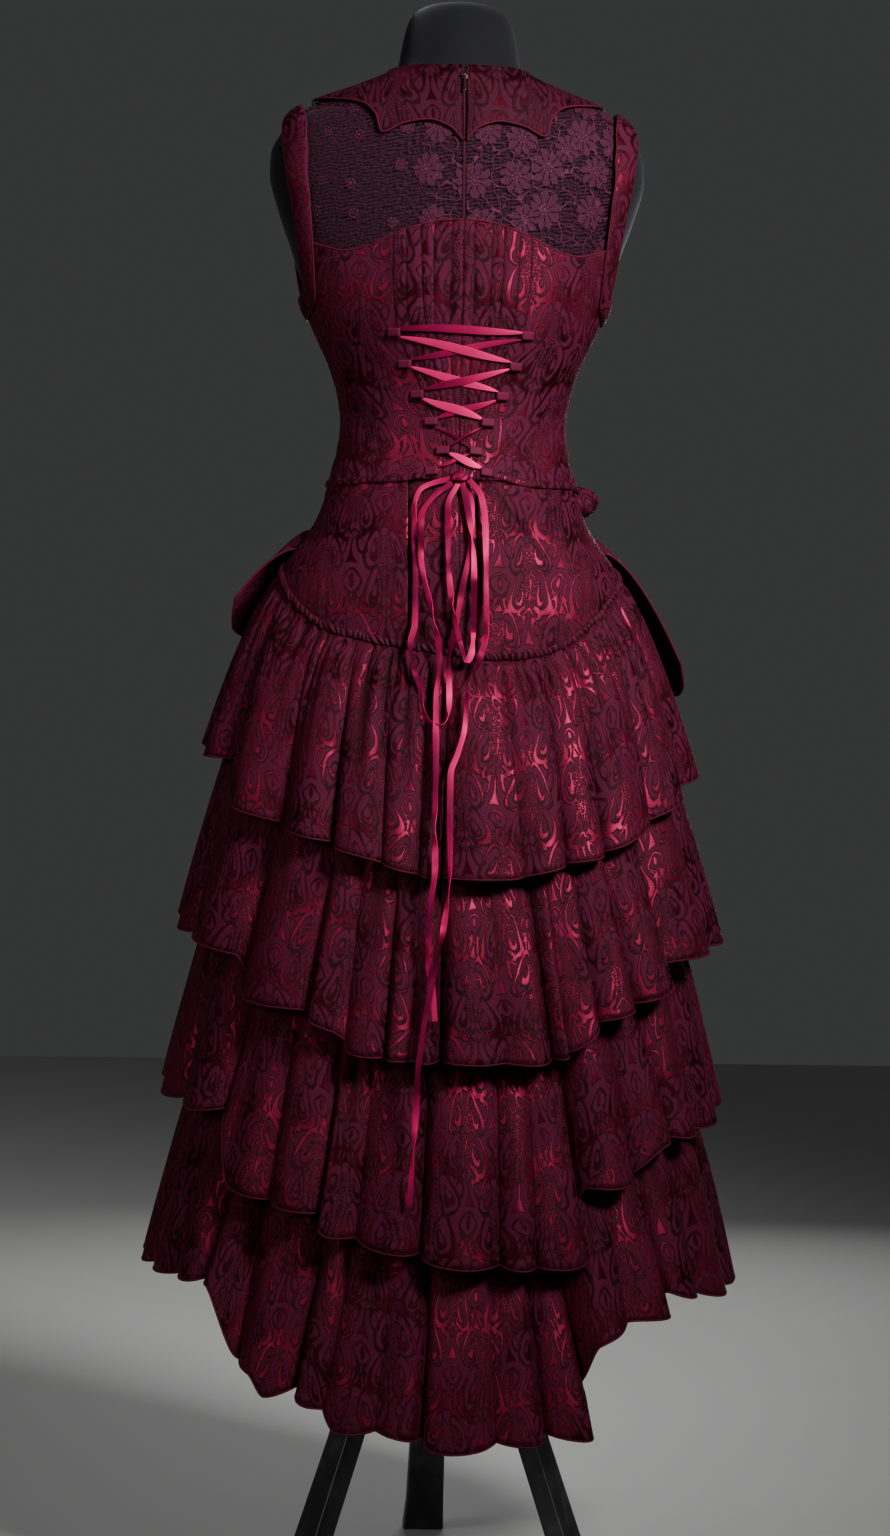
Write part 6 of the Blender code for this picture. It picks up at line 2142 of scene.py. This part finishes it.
@dataclass
class Ruffles:
    """The foundation skirt, the ruched heading and the four gathered tiers with their rolled hems.

    A pair is a least value and how much more it can be. Stitching is how far the roll's edges lie from its
    top line and from its low line.
    """

    finish: bpy.types.Material
    heading_finish: bpy.types.Material
    trim: bpy.types.Material
    columns: int = 1040
    rows: int = 34
    lining_columns: int = 192
    lining_rows: int = 24
    heading_columns: int = 1440
    heading_sides: int = 14
    stitching: tuple = (0.0008, 0.0042)
    puckers: int = 186
    pucker_length: tuple = (0.45, 1.10)
    pucker_height: tuple = (0.62, 0.38)
    pucker_rise: tuple = (0.20, 0.80)
    pucker_tilt: float = 0.0034
    # Width and darkness of the painted shade in the gaps between the heading's puckers
    gap_width: tuple = (0.18, 0.14)
    gap_shade: tuple = (0.55, 0.45)
    proud: float = 0.0046
    tucked: float = 0.0046
    lifts: tuple = (0.10, 0.18, 0.28, 0.40)
    fullness: tuple = (1.35, 1.25, 1.2, 1.15)
    pattern_step: float = 0.031
    # Darkness of the painted shade in the small gathers, and the gather depth at which it is darkest
    crease_shade: float = 0.85
    darkest_crease: float = 0.0062

    def foundation(self) -> None:
        """Builds the plain skirt that carries the tiers."""
        bearing = (around(self.lining_columns) - 180)[None]
        top = SKIRT.hip_seam(bearing) - HEADING
        z = blend(top, SKIRT.hem(2, bearing) + SKIRT.tail, shares(self.lining_rows)[:, None])
        rows = SKIRT.point(bearing, SKIRT.foundation(bearing, z), z)
        seat = SKIRT.point(bearing, SKIRT.foundation(bearing, top + HEADING), top + HEADING * 0.6)
        rows = np.concatenate([seat, rows])
        cloth("lining_skirt", rows, plain_uv(rows, self.lining_columns // 2), self.finish, "foundation_skirt",
              closed=True)

    def heading(self) -> None:
        """Builds the ruched roll in the seam: uneven puckers between two lines of stitching."""
        bearing = around(self.heading_columns)[:-1] - 180
        ends = np.cumsum(least_and_more(self.pucker_length, uneven(np.arange(self.puckers), 3.0)))
        marks = np.concatenate([[0.0], ends]) / ends[-1] * 360 - 180
        at = np.interp(bearing, marks, np.arange(len(marks)))
        top = SKIRT.hip_seam(bearing) + self.stitching[0]
        low = SKIRT.hip_seam(bearing) - HEADING + self.stitching[1]
        rings, painted_gap_shade = [], []
        for a in np.linspace(0, math.tau, self.heading_sides, endpoint=False):
            out = 0.5 + 0.5 * math.cos(a)
            up = math.sin(a)
            slanted = (at + 0.22 * up + 0.25 * np.sin(at * 0.7) * up) % self.puckers
            share, which = slanted % 1.0, np.floor(slanted)
            pucker = np.sin(np.pi * share) ** 0.8 * least_and_more(self.pucker_height, uneven(which, 7.0))
            swell = least_and_more(self.pucker_rise, pucker) * (1 - 0.10 * up**2)
            tilt = (uneven(which, 5.0) - 0.5) * self.pucker_tilt * np.sin(np.pi * share)
            z = blend(low, top, 0.5 + 0.5 * up) + tilt * out
            inner = SKIRT.reach(bearing, z, *SURFACE.section(z)) + HIP_SIDE_LIFT + JACQUARD * 0.5
            rings.append(SKIRT.point(bearing, inner + self.proud * out**0.7 * swell, z))
            # Painted shade in the gap between two puckers
            gap = np.minimum(share, 1 - share) / least_and_more(self.gap_width, uneven(which, 6.0))
            painted_gap_shade.append(bell(gap) * least_and_more(self.gap_shade, uneven(which, 2.0)))
        mesh = tube_mesh("ruched_roll", np.stack(rings, axis=1), closed=True, values=np.stack(painted_gap_shade, axis=1))
        dress(mesh, self.heading_finish, Slot.JACQUARD, "ruched_heading")

    def tier(self, number: int) -> None:
        """Builds a tier and its rolled hem.

        Args:
            number: The tier, 0 at the top.
        """
        bearing = SKIRT.bearings(number, self.columns)[None]
        v = shares(self.rows)[:, None]
        top = SKIRT.tier_top(number, bearing) + (self.tucked if number == 0 else 0.0)
        low = SKIRT.hem(number, bearing)
        z = blend(top, low, v)
        radius = SKIRT.tier(number, bearing, z)
        lift = self.lifts[number] * SKIRT.valley(number, bearing, v) * v**2
        turned = bearing + SKIRT.lean(number, bearing, v)
        rows = SKIRT.point(turned, radius, z + lift, TIERS[number].shift * v)
        across, drop = hung_arcs(rows, self.columns // 2)
        uv = np.stack([across, self.pattern_step * number - drop], axis=-1)
        # Painted shade in the small gathers: the deeper the gather, the darker
        depth = np.clip(SKIRT.creases(number, bearing, v) / self.darkest_crease, 0.0, 1.0)
        crease = self.crease_shade * depth**1.6
        cloth(f"damask_tier_{number + 1}", rows, uv, self.finish, TIERS[number].node,
              closed=True, fullness=self.fullness[number], crease=crease)
        out = outward(rows)[-1]
        line = rows[-1] + out * JACQUARD * 0.5
        edge_cord(f"rolled_hem_{number + 1}", line, out, ROLL, self.trim, closed=True)

    def build(self) -> None:
        """Builds the skirt."""
        self.foundation()
        self.heading()
        for number in range(len(TIERS)):
            self.tier(number)


@dataclass
class FrontPeplum:
    """The front peplum, whose rounded corners stand out at both hips; its folds are bearings and depths."""

    finish: bpy.types.Material
    trim: bpy.types.Material
    across: int = 170
    down: int = 30
    roll: float = 0.0013
    flare: float = 0.62
    front_share: float = 0.92
    fold_width: float = 3.2
    folds: tuple = ((112, 0.004), (126, 0.005), (141, 0.004), (158, 0.005), (175, 0.003), (192, 0.005),
                    (209, 0.004), (226, 0.005), (243, 0.004))

    def build(self) -> None:
        """Builds the peplum and its rolled edge."""
        bearing = blend(PEPLUM[0][0], PEPLUM[-1][0], shares(self.across))[None]
        top, bottom, radius = (Curve(PEPLUM, k)(bearing) for k in (1, 2, 3))
        v = shares(self.down)[:, None]
        z = blend(top, bottom, v)
        start = SURFACE.point(bearing, top, PEPLUM_LIFT)
        out = unit(ring(bearing, 0.0, 1.0, 1.0, self.front_share))
        fold = sum(depth * bell(bearing - place, self.fold_width) for place, depth in self.folds)
        rows = blend(start, out * (radius - fold * v)[..., None], (v**self.flare)[..., None])
        rows[..., 2] = z
        across, drop = hung_arcs(rows)
        cloth("damask_peplum", rows, np.stack([across, -drop], -1), self.finish, "front_peplum")
        line = np.concatenate([rows[:, 0], rows[-1, 1:-1], rows[::-1, -1]])
        aim = outward(rows)
        facing = np.concatenate([aim[:, 0], aim[-1, 1:-1], aim[::-1, -1]])
        edge_cord("peplum_edge", line + facing * JACQUARD * 0.5, facing, self.roll, self.trim)


# Small pieces


@dataclass
class WaistTies:
    """Narrow ties over the waist seam, from the lacing to the side seams."""

    finish: bpy.types.Material
    first: float = 15.5
    last: float = 88.0
    half_wide: float = 0.0032
    columns: int = 130
    knot_reach: float = 9.0
    knot_rise: float = 0.0048
    sway: float = 0.0009
    pucker_depth: float = 0.0006
    crown: float = 0.0004

    def build(self) -> None:
        """Builds both ties."""
        for name, first, last in (("right", self.first, self.last), ("left", -self.last, -self.first)):
            bearing = blend(first, last, shares(self.columns))[None]
            t = np.linspace(1, -1, 9)[:, None]
            near = bell(np.abs(bearing) - self.first, self.knot_reach)
            sway = self.sway * np.sin(np.radians(bearing) * 7.0) + self.knot_rise * near
            z = WAIST_SEAM + self.half_wide * t * (1 - 0.30 * near) + sway
            pucker = self.pucker_depth * np.abs(np.sin(bearing * 0.55 + t * 0.7)) * (1 - t**2)
            lift = BODICE_LIFT + JACQUARD + GAP + (pucker + self.crown * (1 - t**4))
            rows = SURFACE.point(bearing, z, lift)
            mesh = grid_mesh(f"damask_tie_{name}", rows, plain_uv(rows))
            wall(dress(mesh, self.finish, Slot.JACQUARD, f"waist_tie_{name}"), JACQUARD)


@dataclass
class Rosette:
    """A rosette rolled from a folded strip, at the right front of the waist."""

    finish: bpy.types.Material
    bearing: float = 107.0
    z: float = 1.0615
    radius: float = 0.0195
    height: float = 0.030
    turns: float = 3.2
    wall: float = 0.0012
    hip_radius: float = 0.118
    around: int = 260
    heart: float = 0.0025
    seat: float = 0.0060
    petal: float = 0.08
    edge_wave: float = 0.0012

    def build(self) -> None:
        """Builds the rolled strip."""
        at = shares(self.around)
        turn = at * self.turns * math.tau
        petals = 1 + self.petal * np.cos(5 * turn / self.turns * 2)
        reach = blend(self.heart, self.radius * 0.92, at**0.85) * petals
        v = shares(12)[:, None]
        profile = np.sin(np.pi * (0.12 + 0.80 * v))
        spread = reach[None] * (0.70 + 0.30 * profile)
        top = blend(1.0, 0.62, at)[None] * self.height
        lift = self.seat + blend(top, 0.0, v) + self.edge_wave * np.sin(turn * 2.3)[None] * (1 - v)
        bearing = self.bearing + np.degrees(spread * np.cos(turn)[None] / self.hip_radius)
        rows = SURFACE.point(bearing, self.z + spread * np.sin(turn)[None], lift)
        uv = plain_uv(rows)
        uv[..., 1] = self.height * (1 - v)
        cloth("rolled_rosette", rows, uv, self.finish, "waist_rosette",
              thickness=self.wall)


@dataclass
class LacingLoops:
    """Six pairs of flat loops: strips folded in half, their ends sewn down away from the middle."""

    finish: bpy.types.Material
    strip: float = 0.0003
    turn_steps: int = 8

    def build(self) -> None:
        """Builds the loops."""
        for number, (x, z, proud) in enumerate(LOOPS, start=1):
            low = BODICE_LIFT + JACQUARD + GAP + proud + self.strip
            high = ON_BODICE_LIFT + SHIRR_DEPTH + 0.0024
            outer, inner = x + LOOP_LENGTH / 2, x - LOOP_LENGTH / 2
            bend = (high - low) / 2
            angle = np.radians(np.linspace(-90, 90, self.turn_steps + 1))
            path = [(s, low) for s in np.linspace(outer, inner + bend, 10)]
            path += [(inner + bend - bend * math.cos(a), low + bend + bend * math.sin(a)) for a in angle[1:-1]]
            path += [(s, blend(high, low + 0.0010, (s - inner) / (outer - inner)))
                     for s in np.linspace(inner + bend, outer, 10)]
            xs, lifts = np.array(path).T
            height = z + LOOP_WIDTH * np.linspace(0.5, -0.5, 5)[:, None] + 0.0006 * math.sin(number * 2.1)
            right = SURFACE.point(SURFACE.bearing_at(xs, height), height, lifts)
            for tag, points, _ in both_sides(right):
                mesh = grid_mesh(f"plain_loop_{tag}_{number}", points, plain_uv(points))
                piece = dress(mesh, self.finish, Slot.JACQUARD, f"lacing_loop_{tag}_{number}")
                wall(piece, self.strip * 2, 0.0)


@dataclass
class ZipFastener:
    """The closed zip: its tape with coil teeth, the slider and the pull that hangs on it."""

    tape: bpy.types.Material
    metal: bpy.types.Material
    pivot: tuple = (0.0, -0.076153, 1.475164)
    tilt: float = -0.4764
    pull_length: float = 0.020
    pull_width: float = 0.0034
    pull_wall: float = 0.0009
    pitch: float = 0.0022
    tooth: tuple = (0.0021, 0.0007, 0.0009)
    tooth_turn: float = 0.35
    below_neck: float = 0.004
    slider_merge: float = 0.000005
    slider_edge: float = 0.00025

    def tape_and_teeth(self) -> None:
        """Builds the tape and a row of coil teeth down its middle."""
        z = np.linspace(NAPE - 0.001, ZIP_END, 160)
        x = np.linspace(-ZIP_HALF, ZIP_HALF, 5)
        rows = SURFACE.point(SURFACE.bearing_at(x[None], z[:, None]), z[:, None], ZIP_LIFT)
        band = grid_mesh("zip_band", rows, plain_uv(rows, 2))
        wall(dress(band, self.tape, Slot.ZIP_TAPE, "zip_tape"), LACE)
        top = NAPE - self.below_neck
        heights = top - self.pitch * np.arange(int((top - ZIP_END) / self.pitch))
        centres = SURFACE.point(0.0, heights, ZIP_LIFT + LACE + 0.0002)
        shape = bmesh.new()
        for i, centre in enumerate(centres):
            made = bmesh.ops.create_cube(shape, size=1.0)["verts"]
            turn = self.tooth_turn if i % 2 else -self.tooth_turn
            bmesh.ops.scale(shape, vec=self.tooth, verts=made)
            bmesh.ops.rotate(shape, verts=made, cent=(0, 0, 0), matrix=Matrix.Rotation(turn, 3, "Y"))
            bmesh.ops.translate(shape, vec=Vector(centre), verts=made)
        dress(mesh_of("zip_teeth", shape), self.tape, Slot.ZIP_TAPE)

    def slider(self) -> None:
        """Builds the slider from a copy of its solid, its edges rounded."""
        mesh = rounded_copy("slider_shell", "zip_slider", self.slider_merge, self.slider_edge)
        dress(mesh, self.metal, Slot.ZIP_METAL, "zip_slider")

    def pull(self) -> None:
        """Builds the pull tab: a thin bar with an eye at the top and a rounded end."""
        half, wall_half = self.pull_width / 2, self.pull_wall / 2
        z = np.linspace(0.0008, -self.pull_length, 40)
        share = -z / self.pull_length
        wide = half * np.where(share > 0.9, np.sqrt(np.clip(1 - ((share - 0.9) / 0.1) ** 2, 0.05, 1)), 1.0)
        wide = wide * (1 - 0.22 * bell(share - 0.33, 0.14))
        thick = wall_half * (1 + 0.75 * bell(share, 0.035))
        path = np.stack([np.zeros_like(z), np.zeros_like(z), z], axis=-1)
        out = np.tile(np.array([0.0, -1.0, 0.0]), (len(z), 1))
        mesh = tube_mesh("pull_bar", sweep(path, out, wide, thick, oval(12, 0.5)))
        shape = bmesh.new()
        shape.from_mesh(mesh)
        bmesh.ops.rotate(shape, verts=shape.verts, cent=(0, 0, 0), matrix=Matrix.Rotation(self.tilt, 3, "X"))
        bmesh.ops.translate(shape, verts=shape.verts, vec=Vector(self.pivot))
        shape.to_mesh(mesh)
        shape.free()
        dress(mesh, self.metal, Slot.ZIP_METAL, "zip_pull", PULL_TAB)

    def build(self) -> None:
        """Builds the zip."""
        self.tape_and_teeth()
        self.slider()
        self.pull()


def main() -> None:
    """Builds the studio and every piece in order, and logs the sizes."""
    logging.basicConfig(level=logging.INFO, format="%(message)s")
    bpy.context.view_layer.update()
    studio = Studio()
    studio.camera()
    damask = Damask().build()
    # A darker copy of the damask with fewer painted highlights, for the collar: painted shade
    shaded = Damask("shaded_damask", (0.058, 0.0037, 0.0185), (0.031, 0.0018, 0.0092), painted_highlight_from=0.56).build()
    lace = FloralLace().build()
    ribbon = SatinRibbon().build()
    loops = PlainWine("plain_wine", (0.125, 0.0085, 0.0370), (0.075, 0.0050, 0.0220)).build()
    heading = PlainWine("ruched_wine", (0.098, 0.0058, 0.0270), (0.034, 0.0020, 0.0090)).build()
    trim = PlainWine("rolled_wine", (0.098, 0.0070, 0.0240), (0.048, 0.0035, 0.0120)).build()
    tape = PlainWine("tape_wine", (0.070, 0.0060, 0.0220), (0.030, 0.0030, 0.0100), 0.02).build()
    velvet = Velvet().build()
    coat = Coated("black_coat", (0.012, 0.012, 0.013), (0.045, 0.044, 0.043), 0.34, 0.0).build()
    metal = Coated("dark_metal", (0.17, 0.085, 0.105), (0.34, 0.25, 0.27), 0.24, 1.0).build()
    parts = (
        ("bow", RibbonBow(ribbon)), ("lacing", Lacing(ribbon)), ("form", DressForm(velvet, coat)),
        ("yoke", Yoke(lace)), ("collar", Collar(shaded, trim)), ("bands", ArmholeBands(damask, trim)),
        ("bodice", Bodice(damask, trim)), ("hip yoke", HipYoke(damask)),
        ("ruffles", Ruffles(damask, heading, trim)), ("peplum", FrontPeplum(damask, trim)),
        ("ties", WaistTies(damask)), ("rosette", Rosette(damask)), ("loops", LacingLoops(loops)),
        ("zip", ZipFastener(tape, metal)),
    )
    for name, part in parts:
        part.build()
        LOG.info("built the %s", name)
    studio.build()


if __name__ == "__main__":
    main()
